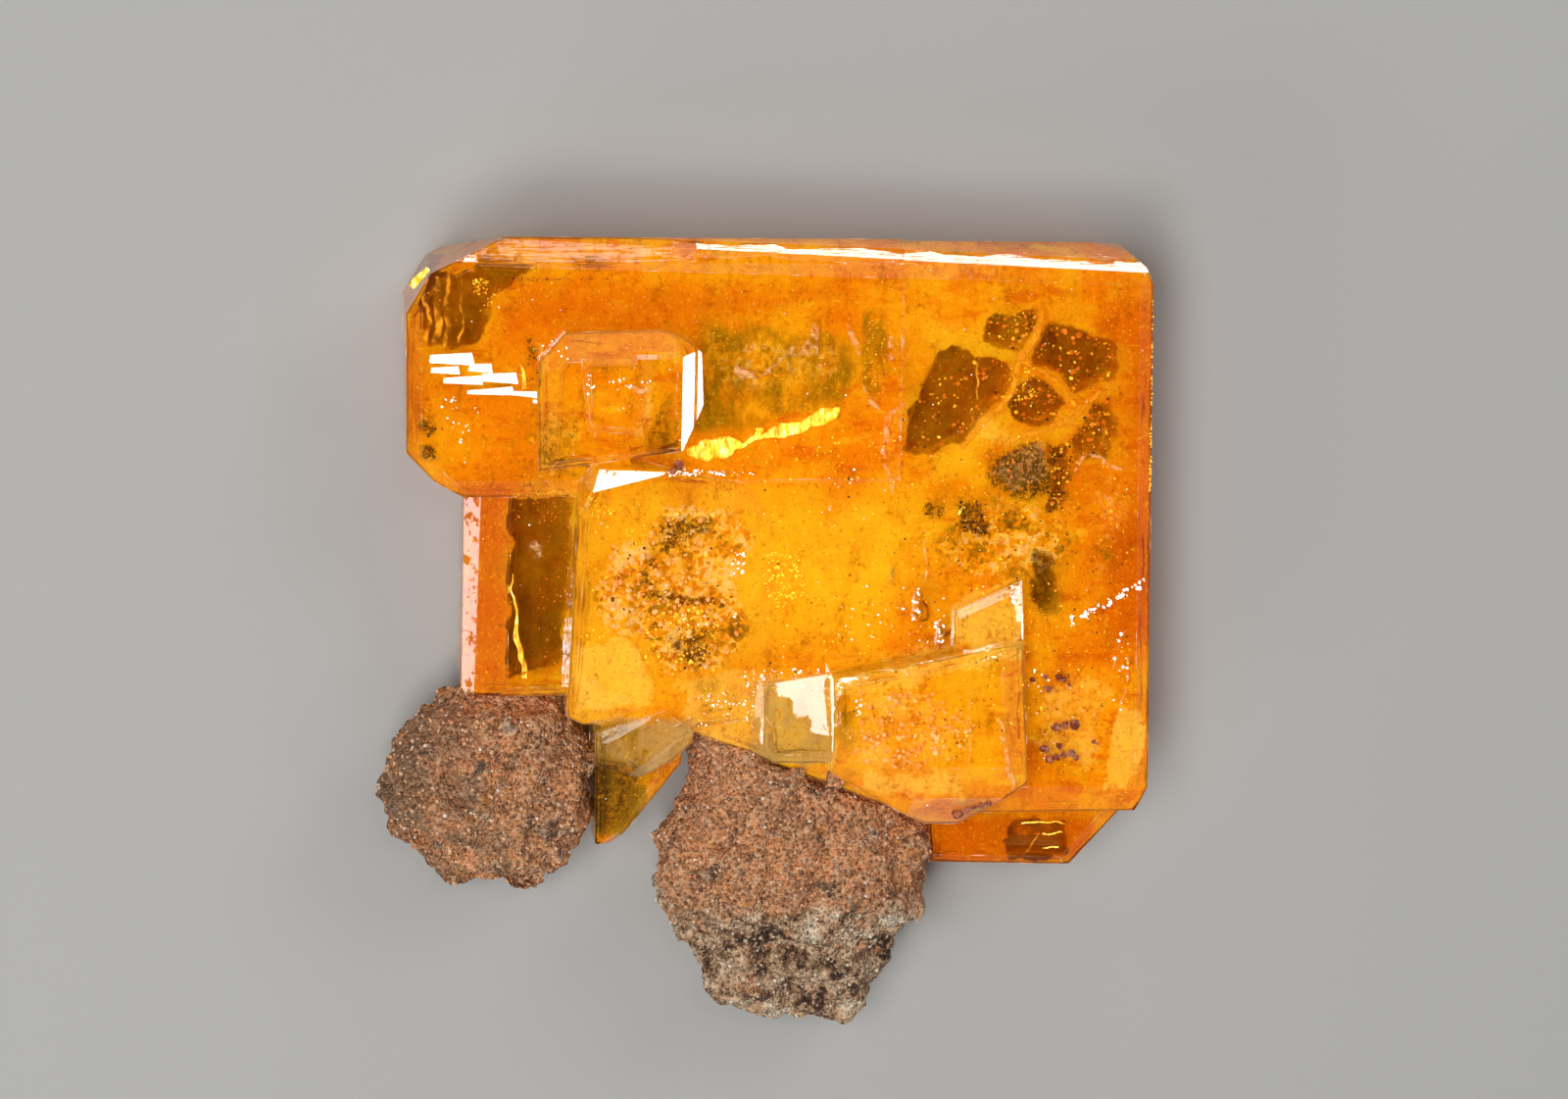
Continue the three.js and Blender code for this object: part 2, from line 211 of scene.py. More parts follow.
def mottle(point, size, detail=2.0, roughness=0.5, seed=0.0):
    """Cloudy noise from 0 to 1, with patches of a size in mm."""
    inputs = {"Vector": point, "W": seed, "Scale": 1 / size, "Detail": detail, "Roughness": roughness}
    return point.node("ShaderNodeTexNoise", {"noise_dimensions": "4D"}, inputs, "Fac")


def cells(point, size, output="Distance"):
    """Grains of a size in mm: the distance to the grain's middle, or its own colour."""
    return point.node("ShaderNodeTexVoronoi", None, {"Vector": point, "Scale": 1 / size}, output)


def cell_tone(point, size):
    """A random number from 0 to 1 for each grain."""
    return point.node("ShaderNodeSeparateColor", None, {0: cells(point, size, "Color")}, "Red")


def attribute(tree, name):
    """A number that the mesh holds at each vertex."""
    return Wire(tree).node("ShaderNodeAttribute", {"attribute_name": name}, None, "Fac")


def bump(height, distance, normal=None):
    """The surface normal that a height gives. distance, in mm, is how tall 1 is."""
    inputs = {"Height": height, "Distance": distance * MM}
    if normal:
        inputs["Normal"] = normal
    return height.node("ShaderNodeBump", None, inputs)


def new_material(name):
    """An empty material with its node tree and its Principled node."""
    material = bpy.data.materials.new(name)
    material.use_nodes = True
    return material, material.node_tree, material.node_tree.nodes["Principled BSDF"]


def dress(shader, **sockets):
    """Sets a shader's sockets: plain values are set and wires are linked. Base_Color is Base Color."""
    for name, value in sockets.items():
        socket = shader.inputs[name.replace("_", " ")]
        if isinstance(value, Wire):
            value.tree.links.new(value.socket, socket)
        elif isinstance(value, tuple):
            socket.default_value = paint(value)
        else:
            socket.default_value = value


# %% [markdown]
# Geometry Nodes make what repeats here: grains, specks, seams along a path and worn edges. A tree takes a
# mesh and a few named sizes, and ends by making its copies real and giving them their material. `grow` runs
# a tree once and keeps the plain mesh.

# %% Geometry Nodes
SOCKET_KINDS = {
    "Geometry": "NodeSocketGeometry",
    "Material": "NodeSocketMaterial",
    "Seed": "NodeSocketInt",
}


def begin_tree(name, *sizes):
    """A tree that takes a mesh, named sizes and a material. Gives it and a wire for each input."""
    tree = bpy.data.node_groups.new(name, "GeometryNodeTree")
    for label in ("Geometry", *sizes, "Material"):
        kind = SOCKET_KINDS.get(label, "NodeSocketFloat")
        tree.interface.new_socket(label, in_out="INPUT", socket_type=kind)
    tree.interface.new_socket("Geometry", in_out="OUTPUT", socket_type="NodeSocketGeometry")
    entry = tree.nodes.new("NodeGroupInput")
    return tree, {s.name: Wire(tree, s) for s in entry.outputs if s.name}


def end_tree(geometry, material):
    """Makes the copies real and gives them the material."""
    real = geometry.node("GeometryNodeRealizeInstances", None, {0: geometry})
    coated = real.node("GeometryNodeSetMaterial", None, {"Geometry": real, "Material": material})
    way_out = geometry.tree.nodes.new("NodeGroupOutput")
    geometry.tree.links.new(coated.socket, way_out.inputs[0])


# %% Numbers and vectors in a tree
def random_value(seed, low, high):
    """A random number or vector for each element, between two limits."""
    if isinstance(low, tuple):
        limits = {0: low, 1: high, "Seed": seed}
        return seed.node("FunctionNodeRandomValue", {"data_type": "FLOAT_VECTOR"}, limits)
    limits = {2: low, 3: high, "Seed": seed}
    return seed.node("FunctionNodeRandomValue", {"data_type": "FLOAT"}, limits, 1)


def times(vector, other):
    """A vector times another, axis by axis."""
    return vector.node("ShaderNodeVectorMath", {"operation": "MULTIPLY"}, {0: vector, 1: other})


def vector_of(x, y, z):
    """A vector whose first wire is among x, y and z."""
    wire = next(value for value in (x, y, z) if isinstance(value, Wire))
    return wire.node("ShaderNodeCombineXYZ", None, {0: x, 1: y, 2: z})


# %% Running a tree
def add_object(name, data):
    """Puts an object in the scene."""
    made = bpy.data.objects.new(name, data)
    scene.collection.objects.link(made)
    return made


def bake_modifiers(piece):
    """Makes what the modifiers give the piece's plain mesh."""
    graph = bpy.context.evaluated_depsgraph_get()
    mesh = bpy.data.meshes.new_from_object(piece.evaluated_get(graph))
    piece.modifiers.clear()
    piece.data = mesh


def settle(piece):
    """Ties a finished piece to the specimen and prints how many faces it has."""
    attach(piece, "root")
    print(piece.name, len(piece.data.polygons), "faces")


# %% From a tree to a piece
def grow(tree, carrier, name, sizes):
    """Runs a tree on a mesh and keeps the result as a piece of the specimen."""
    made = add_object(name, carrier)
    modifier = made.modifiers.new(name, "NODES")
    modifier.node_group = tree
    for item in tree.interface.items_tree:
        if item.in_out == "INPUT" and item.name in sizes:
            modifier[item.identifier] = sizes[item.name]
    bake_modifiers(made)
    settle(made)
    return made


def hold(mesh, name, values):
    """Keeps a number for each vertex under a name."""
    numbers = np.asarray(values, dtype=np.float32)
    mesh.attributes.new(name, "FLOAT", "POINT").data.foreach_set("value", numbers)


# %% [markdown]
# ## The camera and the table
#
# The eye is above the specimen and a little beyond its long upper edge, twelve degrees off the vertical
# that way and six degrees to the left, with a long lens. The table is pale and plain. It lies a hair under
# the crystals, so that two faces never share a plane.

# %% Camera
VIEW_TILT = math.radians(12)
VIEW_TURN = math.radians(6)
EYE_DISTANCE = 200  # mm
FRAME_WIDTH = 64  # mm, what the picture spans at the specimen
SENSOR = 36  # mm
NEAREST = 0.01  # metres, nothing nearer the eye is drawn
eye_target = place(15.52, 13.01, 2.9)
eye_line = Vector(
    (
        -math.sin(VIEW_TURN),
        math.cos(VIEW_TURN) * math.sin(VIEW_TILT),
        math.cos(VIEW_TURN) * math.cos(VIEW_TILT),
    )
)
eye_up = Vector((0, math.cos(VIEW_TILT), -math.sin(VIEW_TILT)))
eye_axes = Matrix((eye_up.cross(eye_line), eye_up, eye_line)).transposed()
eye_place = eye_target + eye_line * EYE_DISTANCE * MM

camera = add_object("camera", bpy.data.cameras.new("camera"))
camera.matrix_world = Matrix.Translation(eye_place) @ eye_axes.to_4x4()
camera.data.sensor_width = SENSOR
camera.data.lens = SENSOR * EYE_DISTANCE / FRAME_WIDTH
camera.data.clip_start = NEAREST
scene.camera = camera
print("lens, mm:", camera.data.lens)

# %% Table
TABLE_DROP = 0.03  # mm
TABLE_HALF = 0.8  # metres from its middle to its side
TABLE_CORNERS = ((-1, -1), (1, -1), (1, 1), (-1, 1))
table_points = [(x * TABLE_HALF, y * TABLE_HALF, -TABLE_DROP * MM) for x, y in TABLE_CORNERS]
table_mesh = bpy.data.meshes.new("table")
table_mesh.from_pydata(table_points, [], [(0, 1, 2, 3)])
table = add_object("table", table_mesh)
table_paint, tree, shader = new_material("pale_table")
dress(shader, Base_Color=(0.52, 0.515, 0.5), Roughness=0.7)
table_mesh.materials.append(table_paint)
print("table, m:", 2 * TABLE_HALF, "square")

# %% [markdown]
# ## Light
#
# A crystal face is a mirror as well as a window. Each white flash on this specimen is a lamp that one face
# throws at the eye, so the lamps are placed backwards: from the eye to a named face, and off it at the same
# angle. Each box is narrow, or it would flash in the other bevels too. The big soft boxes that light the
# colour stand in the gaps, where no face mirrors them. The sky is dark straight above, because the big
# front face mirrors that part and has to stay deep orange. Lower down it is a little paler.

# %% Lamps that flash in a face
LAMP_DISTANCE = 350  # mm


def lamp(name, direction, width, height, radiance):
    """A soft box in a direction from the specimen. Its sides are in degrees as the specimen sees them."""
    data = bpy.data.lights.new(name, "AREA")
    data.shape = "RECTANGLE"
    data.size = 2 * LAMP_DISTANCE * MM * math.tan(math.radians(width / 2))
    data.size_y = 2 * LAMP_DISTANCE * MM * math.tan(math.radians(height / 2))
    data.energy = radiance * math.pi * data.size * data.size_y
    made = add_object(name, data)
    made.location = eye_target + direction * LAMP_DISTANCE * MM
    made.rotation_mode = "QUATERNION"
    made.rotation_quaternion = direction.to_track_quat("Z", "Y")
    azimuth = math.degrees(math.atan2(direction.y, direction.x))
    print(name, "azimuth", round(azimuth), "tilt", round(math.degrees(math.acos(direction.z))))


def mirrored(x, y):
    """Where the face in front at a place throws the line of sight."""
    point, normal = front(x, y)
    to_eye = (eye_place - point).normalized()
    return 2 * normal.dot(to_eye) * normal - to_eye


def towards(azimuth, tilt):
    """A direction from its azimuth and its angle from the vertical, in degrees."""
    a = math.radians(azimuth)
    b = math.radians(tilt)
    return Vector((math.cos(a) * math.sin(b), math.sin(a) * math.sin(b), math.cos(b)))


# %% The lamps
lamp("lamp_for_ledges", mirrored(1.8, 21.4), 9, 7, 8)
lamp("lamp_for_large_plate", mirrored(8.7, 16.8), 5, 5, 8)
lamp("lamp_for_low_block", towards(60.6, 22.6), 5, 4, 4)
lamp("lamp_for_small_plate", towards(-15.4, 45.4), 5, 4, 8)
lamp("lamp_for_small_plate_rim", towards(-11, 85.4), 12, 6, 8)
lamp("lamp_for_upper_edge", towards(78.5, 72), 22, 5, 6)
lamp("lamp_for_upper_haze", towards(84, 35), 14, 10, 0.15)
lamp("lamp_for_left_strip", mirrored(2.5, 12), 12, 10, 2.8)
lamp("lamp_for_corner_edge", towards(109.3, 25.2), 4, 4, 1.5)
lamp("lamp_for_corner", towards(1, 45.8), 3, 3, 4)
lamp("key", towards(228, 24), 24, 20, 6.4)
lamp("key_beside_the_eye", towards(160, 22), 24, 20, 6.4)
lamp("fill_right", towards(45, 55), 24, 20, 3)
lamp("fill_low", towards(225, 66), 30, 16, 3)

# %% Sky
SKY = 0.07
sky = bpy.data.worlds.new("studio")
scene.world = sky
sky.use_nodes = True
way_up = axis(Wire(sky.node_tree).node("ShaderNodeTexCoord", output="Generated"), "Z")
dome = way_up.ease(0.94, 0.6).blend((0.05, 0.05, 0.055), (1, 0.985, 0.96))
dress(sky.node_tree.nodes["Background"], Color=dome, Strength=SKY)
scene.view_settings.view_transform = "Standard"
print("sky strength:", SKY)

# %% [markdown]
# ## The clear skin
#
# The crystals keep their solid. What they get is a clear material: full transmission, the very high index
# that wulfenite has, and a volume that takes blue and some green from light on its way through. Lamps can't
# aim through a bent surface, so for them alone the skin is open. The volume still colours what passes.
#
# Natural faces aren't quite flat. Growth leaves fine steps along the upper edge, and the big faces have
# faint hills. Parts of a bevel may lean a little more than the rest, and stay dark when the rest flashes.

# %% Wulfenite
INDEX = 2.3
POLISH = 0.02  # the roughness of a fresh face
DULLING = 0.06  # how much rougher it gets in patches
ABSORPTION = {"Color": (1.0, 0.82, 0.05, 1), "Density": 420.0}
EDGE_SLOPE = 0.0353  # how much the upper edge falls to the right
LEAN = 0.1  # mm of bump for each mm, where a bevel is turned away
crystal_skin, tree, shader = new_material("wulfenite")
point = ground(tree)
rows = mottle(ground(tree, (0.12, 1.6, 0.6)), 0.34, 3)
hills = mottle(point, 2.2, 3)
pits = mottle(point, 0.16, 2)
across = axis(point, "X")
up = axis(point, "Y")
upper_edge = up.ease(24.9, 25.4)

# Where a bevel is turned away from its lamp, so that the flash has a ragged edge or a gap.
shading = Wire(tree).node("ShaderNodeTexCoord", output="Normal")
bevel = axis(shading, "Z").ease(0.97, 0.95)
bright_line = up + 0.8 * mottle(ground(tree, (0.3, 1, 1)), 0.5, 3) + EDGE_SLOPE * across
off_line = bright_line.ease(26.35, 26.3).most(bright_line.ease(26.72, 26.78)).most(across.ease(11.5, 10.5))
block = (across + 0.9 * up + 2.2 * mottle(point, 0.7, 4, 0.6)).ease(23.3, 23.2) * across.ease(14.4, 14.5)
block = block * between(up, 6.2, 8.2, 0.1)
terrace = between(across, 9.05, 9.95, 0.05) * between(up, 17.8, 21.8, 0.1)
groove = between(across, 11.42, 11.55, 0.03) * between(up, 17.5, 22.0, 0.1)
chips = mottle(point, 0.4, 4, 0.65, 2).ease(0.55, 0.58) * across.ease(3.0, 2.9) * up.ease(16.4, 16.3)
turned = block.most(terrace).most(groove).most(chips).most(off_line * up.ease(25.15, 25.2))

# %% The clear skin
growth = bump(rows * upper_edge, 0.012, bump(pits, 0.0012, bump(hills, 0.03)))
dress(
    shader,
    Base_Color=(1.0, 1.0, 1.0),
    Transmission_Weight=1.0,
    IOR=INDEX,
    Roughness=POLISH + DULLING * mottle(point, 1.3, 4).ease(0.5, 0.75),
    Normal=bump(bevel * turned * (across + up), LEAN, growth),
)
open_to_lamps = Wire(tree).node("ShaderNodeLightPath", output="Is Shadow Ray")
clear = open_to_lamps.node("ShaderNodeBsdfTransparent", None, {"Color": (0.97, 0.93, 0.85, 1)})
both = {0: open_to_lamps, 1: Wire(tree, shader.outputs[0]), 2: clear}
skin = open_to_lamps.node("ShaderNodeMixShader", None, both)
volume = skin.node("ShaderNodeVolumeAbsorption", None, ABSORPTION)
output = tree.nodes["Material Output"]
tree.links.new(skin.socket, output.inputs["Surface"])
tree.links.new(volume.socket, output.inputs["Volume"])
crystals.data.materials.clear()
crystals.data.materials.append(crystal_skin)
print("wulfenite", len(tree.nodes), "nodes")

# %% [markdown]
# ## What is inside
#
# The orange glow isn't the clear crystal. It is light thrown back by cloudy zones inside it: millions of
# specks and healed cracks. Where a zone is clear, we look down into the dark. Each cloud here is a body a
# little smaller than the crystals, made by wrapping their shape in small cubes and pushing that skin
# inwards by an uneven depth.
#
# Zones are outlines with a few corners, in mm. Clear windows follow the crystal's square habit, and the
# orange ribbons between them are cracks that healed. Each vertex of a cloud holds how much it belongs to
# each kind of zone.

# %% Clear zones, and olive zones of own tint and painted shade
def box(x0, x1, y0, y1):
    """An outline with four square corners."""
    return [(x0, y0), (x1, y0), (x1, y1), (x0, y1)]


# Each is how strong it is, how soft its edge is in mm, and its outline.
CLEAR = [
    (0.95, 0.18, [(21.3, 21.8), (22.4, 21.8), (22.9, 21.5), (24.2, 21.1), (24.3, 20.4), (23.9, 19.7),
        (23.0, 18.9), (22.1, 17.9), (20.9, 17.5), (19.9, 17.6), (20.1, 18.7)]),
    (0.85, 0.18, [(23.0, 22.6), (23.8, 23.4), (25.3, 23.4), (25.3, 22.5), (24.4, 21.7), (23.0, 22.2)]),
    (0.85, 0.25, [(25.5, 22.8), (26.0, 22.9), (27.2, 22.5), (28.4, 22.2), (28.6, 21.3), (28.3, 20.7),
        (26.9, 19.9), (26.1, 20.8), (25.1, 21.4)]),
    (0.9, 0.2, [(25.0, 20.9), (26.0, 20.1), (26.6, 19.5), (26.0, 18.9), (24.8, 18.7), (24.0, 19.4)]),
    (0.7, 0.4, [(27.6, 19.7), (28.5, 19.8), (28.7, 18.4), (28.5, 17.3), (26.9, 17.3), (26.7, 18.4)]),
    (0.9, 0.35, [(25.7, 17.9), (26.7, 18.0), (26.9, 16.7), (26.5, 15.2), (25.8, 15.2), (26.1, 16.3)]),
    (0.65, 0.3, [(25.2, 13.6), (26.4, 13.5), (26.4, 11.8), (26.0, 10.9), (25.3, 11.3)]),
    (1.0, 0.15, [(0.7, 24.7), (4.9, 25.1), (4.3, 24.3), (3.6, 23.6), (3.1, 22.9), (2.9, 21.7),
        (0.8, 21.8)]),
    (0.75, 0.3, [(2.7, 25.3), (5.0, 25.3), (4.9, 24.8), (2.5, 24.8)]),
    (0.6, 0.4, [(6.4, 25.3), (8.4, 25.4), (8.2, 25.0), (6.9, 24.8)]),
    (0.9, 0.12, [(4.3, 15.6), (6.8, 15.8), (6.75, 12), (6.5, 9.0), (5.1, 8.3), (4.2, 8.0), (4.3, 12.3)]),
    (0.6, 0.3, [(9.7, 19.2), (10.6, 20.8), (10.8, 17.5), (9.4, 17.7)]),
    (1.0, 0.12, [(24.8, 1.15), (27.35, 1.15), (27.3, 0.2), (24.8, 0.2)]),
    (0.7, 0.1, [(25.1, 1.9), (27.4, 1.9), (27.4, 1.15), (25.0, 1.15)]),
    (0.6, 0.8, [(7.7, 6.0), (8.6, 5.2), (8.8, 3.2), (8.0, 2.4), (7.5, 3.8)]),
]
# Olive zones: the crystal's own olive-amber tint, and painted shade where a window looks into the dark.
OLIVE_AND_SHADE = [
    (1.0, 0.7, [(11.6, 22.7), (15.0, 22.6), (17.4, 22.1), (18.2, 20.8), (17.1, 19.6), (13.5, 18.6),
        (11.3, 18.2)]),
    (1.0, 0.3, [(7.0, 5.7), (9.9, 5.5), (9.9, 1.4), (7.0, 1.4)]),
    (1.0, 0.4, [(18.2, 23.2), (19.1, 23.2), (19.3, 21.0), (18.8, 19.8), (18.2, 20.2)]),
    (0.55, 0.4, [(11.4, 8.4), (12.6, 8.6), (12.9, 7.9), (12.0, 7.4), (11.2, 7.7)]),
    (0.8, 0.4, box(25.2, 26.7, 10.9, 13.8)),
    (0.7, 0.5, box(17.4, 18.2, 5.4, 7.4)),
    (0.8, 0.3, [(7.6, 6.9), (9.5, 6.7), (9.1, 4.8), (7.7, 5.3)]),
    (0.55, 0.5, box(4.2, 6.8, 8.0, 11.6)),
    (0.5, 0.6, [(5.4, 19.6), (7.0, 19.2), (6.8, 16.6), (4.8, 16.2)]),
]

# %% Pale, grainy and grey zones
PALE = [
    (0.9, 0.4, [(6.9, 10.0), (8.8, 10.2), (9.9, 8.4), (10.0, 7.3), (6.8, 7.2)]),
    (0.55, 0.5, [(25.7, 7.9), (27.4, 8.1), (28.6, 7.1), (28.3, 4.6), (25.9, 4.7)]),
    (0.85, 0.2, [(29.1, 7.2), (30.1, 6.6), (30.2, 4.4), (29.4, 3.5), (28.6, 3.5)]),
    (0.55, 0.4, [(27.0, 8.3), (28.6, 8.2), (28.9, 7.3), (27.6, 7.1)]),
    (0.55, 0.3, box(25.5, 26.5, 4.8, 5.9)),
    (0.9, 0.4, [(10.8, 8.3), (13.4, 8.6), (14.3, 7.4), (13.0, 6.4), (11.4, 6.3)]),
    # Painted sheen: the pale band on the lower bevel of the plate at the lower right.
    (0.6, 0.3, box(18.7, 22.6, 3.7, 4.8)),
    (0.9, 0.4, [(11.2, 6.8), (14.2, 7.4), (15.4, 5.2), (13.0, 5.0), (11.8, 5.8)]),
    (0.45, 0.3, [(18.1, 8.2), (21.7, 8.0), (22.6, 6.7), (22.2, 5.1), (20.6, 4.8), (18.3, 5.1)]),
    (1.0, 0.3, box(14.0, 17.4, 4.6, 8.4)),
    (0.9, 0.2, [(22.1, 10.2), (22.2, 11.4), (23.0, 11.9), (24.9, 12.4), (24.9, 9.3), (23.4, 9.3)]),
    (0.9, 0.6, [(13.2, 8.4), (17.5, 8.5), (23.5, 9.8), (23.5, 9.2), (17.5, 7.7), (13.2, 7.4)]),
    (0.6, 0.5, box(5.2, 5.9, 20.9, 21.9)),
    # Painted sheen: the pale sliver on the terrace of the small plate.
    (0.6, 0.3, [(9.3, 20.6), (9.75, 20.6), (9.7, 18.8), (9.3, 17.9), (9.1, 18.2)]),
    (0.5, 0.8, box(19.2, 19.9, 16.1, 19.6)),
    (0.6, 0.5, [(22.4, 19.3), (23.4, 19.4), (24.0, 18.6), (25.4, 18.2), (24.4, 17.7), (22.8, 18.0)]),
]
GRAINY = [
    (1.0, 0.5, [(8.2, 14.0), (9.6, 14.4), (10.3, 15.6), (12.9, 15.4), (14.0, 13.7), (13.0, 12.1),
        (13.9, 10.3), (12.6, 8.8), (10.4, 8.5), (9.8, 10.0), (7.9, 10.6), (7.5, 12.6)]),
    (0.65, 0.6, [(23.8, 15.9), (26.3, 15.2), (27.2, 13.4), (25.6, 12.2), (21.6, 12.6), (21.2, 14.2)]),
    (0.5, 0.8, [(5.2, 19.8), (7.2, 19.6), (7.0, 16.4), (4.6, 16.2)]),
    (0.5, 0.8, [(11.8, 22.4), (17.4, 22.0), (18.0, 20.6), (12.2, 19.6)]),
    (0.5, 0.8, [(28.0, 17.0), (29.2, 16.0), (29.0, 12.6), (27.6, 12.6)]),
]
GREY = [
    (0.9, 0.4, [(24.0, 17.4), (25.6, 17.9), (25.9, 16.4), (24.6, 16.0), (23.6, 16.6)]),
    (0.6, 0.3, box(14.0, 17.4, 4.6, 8.4)),
    (1.0, 0.4, [(7.5, 6.9), (11.6, 6.8), (11.5, 5.3), (9.8, 4.3), (8.6, 5.0), (7.6, 5.6)]),
]

# %% Deep, bright and dirty zones
DEEP = [
    (1.0, 1.2, [(28.4, 24.2), (31.0, 24.2), (31.0, 9.0), (28.6, 9.4), (28.0, 13.4), (29.0, 17.1)]),
    (0.8, 0.8, [(4.6, 24.2), (17.5, 24.2), (11.5, 22.7), (7.5, 22.5), (4.2, 22.6)]),
    (0.9, 0.5, box(2.4, 4.2, 7.2, 16.4)),
    (0.7, 0.6, [(16.4, 14.0), (18.6, 16.6), (18.0, 17.0), (14.8, 12.6), (14.2, 10.8), (15.6, 11.2)]),
    (0.6, 0.6, box(0.0, 0.8, 16.0, 23.0)),
    (1.0, 0.3, box(19.0, 28.5, 0.0, 2.0)),
]
BRIGHT = [
    (0.9, 1.5, [(12.8, 15.4), (18.3, 16.0), (20.8, 14.6), (20.6, 12.0), (18.0, 9.6), (13.6, 9.4),
        (12.7, 13.5)]),
    (0.8, 0.8, box(6.6, 8.4, 6.6, 16.0)),
    (0.7, 1.2, box(7.0, 13.4, 8.0, 16.4)),
    (0.4, 0.8, box(17.5, 24.0, 4.0, 9.0)),
    (0.8, 0.5, [(20.6, 23.2), (23.4, 22.2), (24.4, 21.4), (20.8, 21.9)]),
    (0.8, 0.4, [(22.4, 18.4), (24.0, 19.2), (24.6, 20.6), (24.9, 20.0), (24.2, 18.6), (22.0, 16.6),
        (20.6, 16.4)]),
    (0.7, 0.5, [(24.0, 18.3), (26.8, 19.0), (28.5, 20.4), (26.6, 18.4), (24.6, 17.8)]),
    (0.7, 0.7, [(21.0, 8.8), (24.0, 9.4), (23.6, 6.8), (21.6, 7.0)]),
]
GREY_PATCH = [(23.6, 17.4), (25.4, 17.9), (26.0, 17.2), (26.1, 16.2), (25.6, 15.5), (23.5, 16.2)]
DARK_CLUSTER = [(22.2, 15.8), (23.1, 15.6), (23.5, 14.2), (22.5, 14.3)]
DIRTY = [
    (1.0, 0.5, GREY_PATCH),
    (1.0, 0.4, DARK_CLUSTER),
    (0.8, 0.3, box(20.9, 21.7, 15.0, 15.5)),
    (0.8, 0.3, box(0.6, 1.2, 18.2, 18.9)),
    (0.8, 0.3, box(0.7, 1.3, 17.3, 17.8)),
    (0.7, 0.5, box(4.8, 5.3, 20.4, 22.2)),
    (0.6, 0.5, [(7.2, 5.2), (9.7, 5.2), (9.7, 1.6), (7.2, 1.6)]),
    (0.7, 0.4, [(10.1, 15.3), (12.3, 15.2), (12.6, 14.0), (11.4, 14.3), (10.4, 13.6)]),
    (0.9, 0.2, [(9.4, 12.0), (12.8, 11.7), (12.8, 11.4), (9.4, 11.7)]),
    (0.8, 0.4, [(10.2, 10.4), (12.0, 10.2), (12.2, 9.0), (10.8, 8.9)]),
]

# %% Belonging to a zone
ZONES = {
    "clear": CLEAR,
    "olive_and_shade": OLIVE_AND_SHADE,
    "pale": PALE,
    "grey": GREY,
    "grainy": GRAINY,
    "deep": DEEP,
    "bright": BRIGHT,
    "dirty": DIRTY,
}


def depth_inside(points, outline):
    """How far inside an outline each point lies, in mm. It is negative outside."""
    nearest = np.full(len(points), np.inf)
    within = np.zeros(len(points), bool)
    x, y = points[:, 0], points[:, 1]
    for (ax, ay), (bx, by) in zip(outline, outline[1:] + outline[:1]):
        run, rise = bx - ax, by - ay
        along = np.clip(((x - ax) * run + (y - ay) * rise) / (run * run + rise * rise), 0, 1)
        nearest = np.minimum(nearest, np.hypot(x - ax - along * run, y - ay - along * rise))
        if rise:
            within ^= ((ay > y) != (by > y)) & (x < ax + (y - ay) * run / rise)
    return np.where(within, nearest, -nearest)


def belonging(points, zones):
    """How much each point belongs to a kind of zone, from 0 to 1."""
    share = np.zeros(len(points))
    for strength, softness, outline in zones:
        part = np.clip(0.5 + depth_inside(points, outline) / (2 * softness), 0, 1)
        share = np.maximum(share, strength * part * part * (3 - 2 * part))
    return share


print({kind: len(zones) for kind, zones in ZONES.items()})

# %% Copies and skins
MERGE_DISTANCE = 0.0005  # mm


def merged_copy(source, name):
    """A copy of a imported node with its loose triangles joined."""
    mesh = source.data.copy()
    work = bmesh.new()
    work.from_mesh(mesh)
    bmesh.ops.remove_doubles(work, verts=work.verts, dist=MERGE_DISTANCE * MM)
    work.to_mesh(mesh)
    work.free()
    mesh.materials.clear()
    return add_object(name, mesh)


def keep_faces(mesh, wanted):
    """Deletes the faces that aren't wanted."""
    work = bmesh.new()
    work.from_mesh(mesh)
    unwanted = [face for face in work.faces if not wanted(face)]
    bmesh.ops.delete(work, geom=unwanted, context="FACES")
    work.to_mesh(mesh)
    work.free()


def wrapped(source, name, cell):
    """The source's shape in a skin of even squares, cell mm across."""
    made = merged_copy(source, name)
    wrap = made.modifiers.new("wrap", "REMESH")
    wrap.mode = "VOXEL"
    wrap.voxel_size = cell * MM
    bake_modifiers(made)
    return made


def vertices_of(mesh):
    """The vertices in metres, as rows of an array."""
    flat = np.empty(len(mesh.vertices) * 3)
    mesh.vertices.foreach_get("co", flat)
    return flat.reshape(-1, 3)


def set_vertices(mesh, points):
    mesh.vertices.foreach_set("co", points.ravel())
    mesh.update()


def normals_of(mesh):
    flat = np.empty(len(mesh.vertices) * 3)
    mesh.vertex_normals.foreach_get("vector", flat)
    return flat.reshape(-1, 3)


def on_crystals(points):
    """Points in mm from the crystals' corner."""
    return (points - np.array(crystal_low)) / MM


# %% Clouds
CLOUD_CELL = 0.15  # mm
LEAST_DEPTH = 0.08  # mm
SIDE_SHARE = 0.25  # of the depth, where a face looks sideways: the rims are cloudy too
FRONT_FOCUS = 4  # how quickly that share grows as a face turns to the front
WARP_SIZE = 1.1  # mm, of the waves in the outlines of the zones
WARP_SEED = 1795515718  # which waves they are


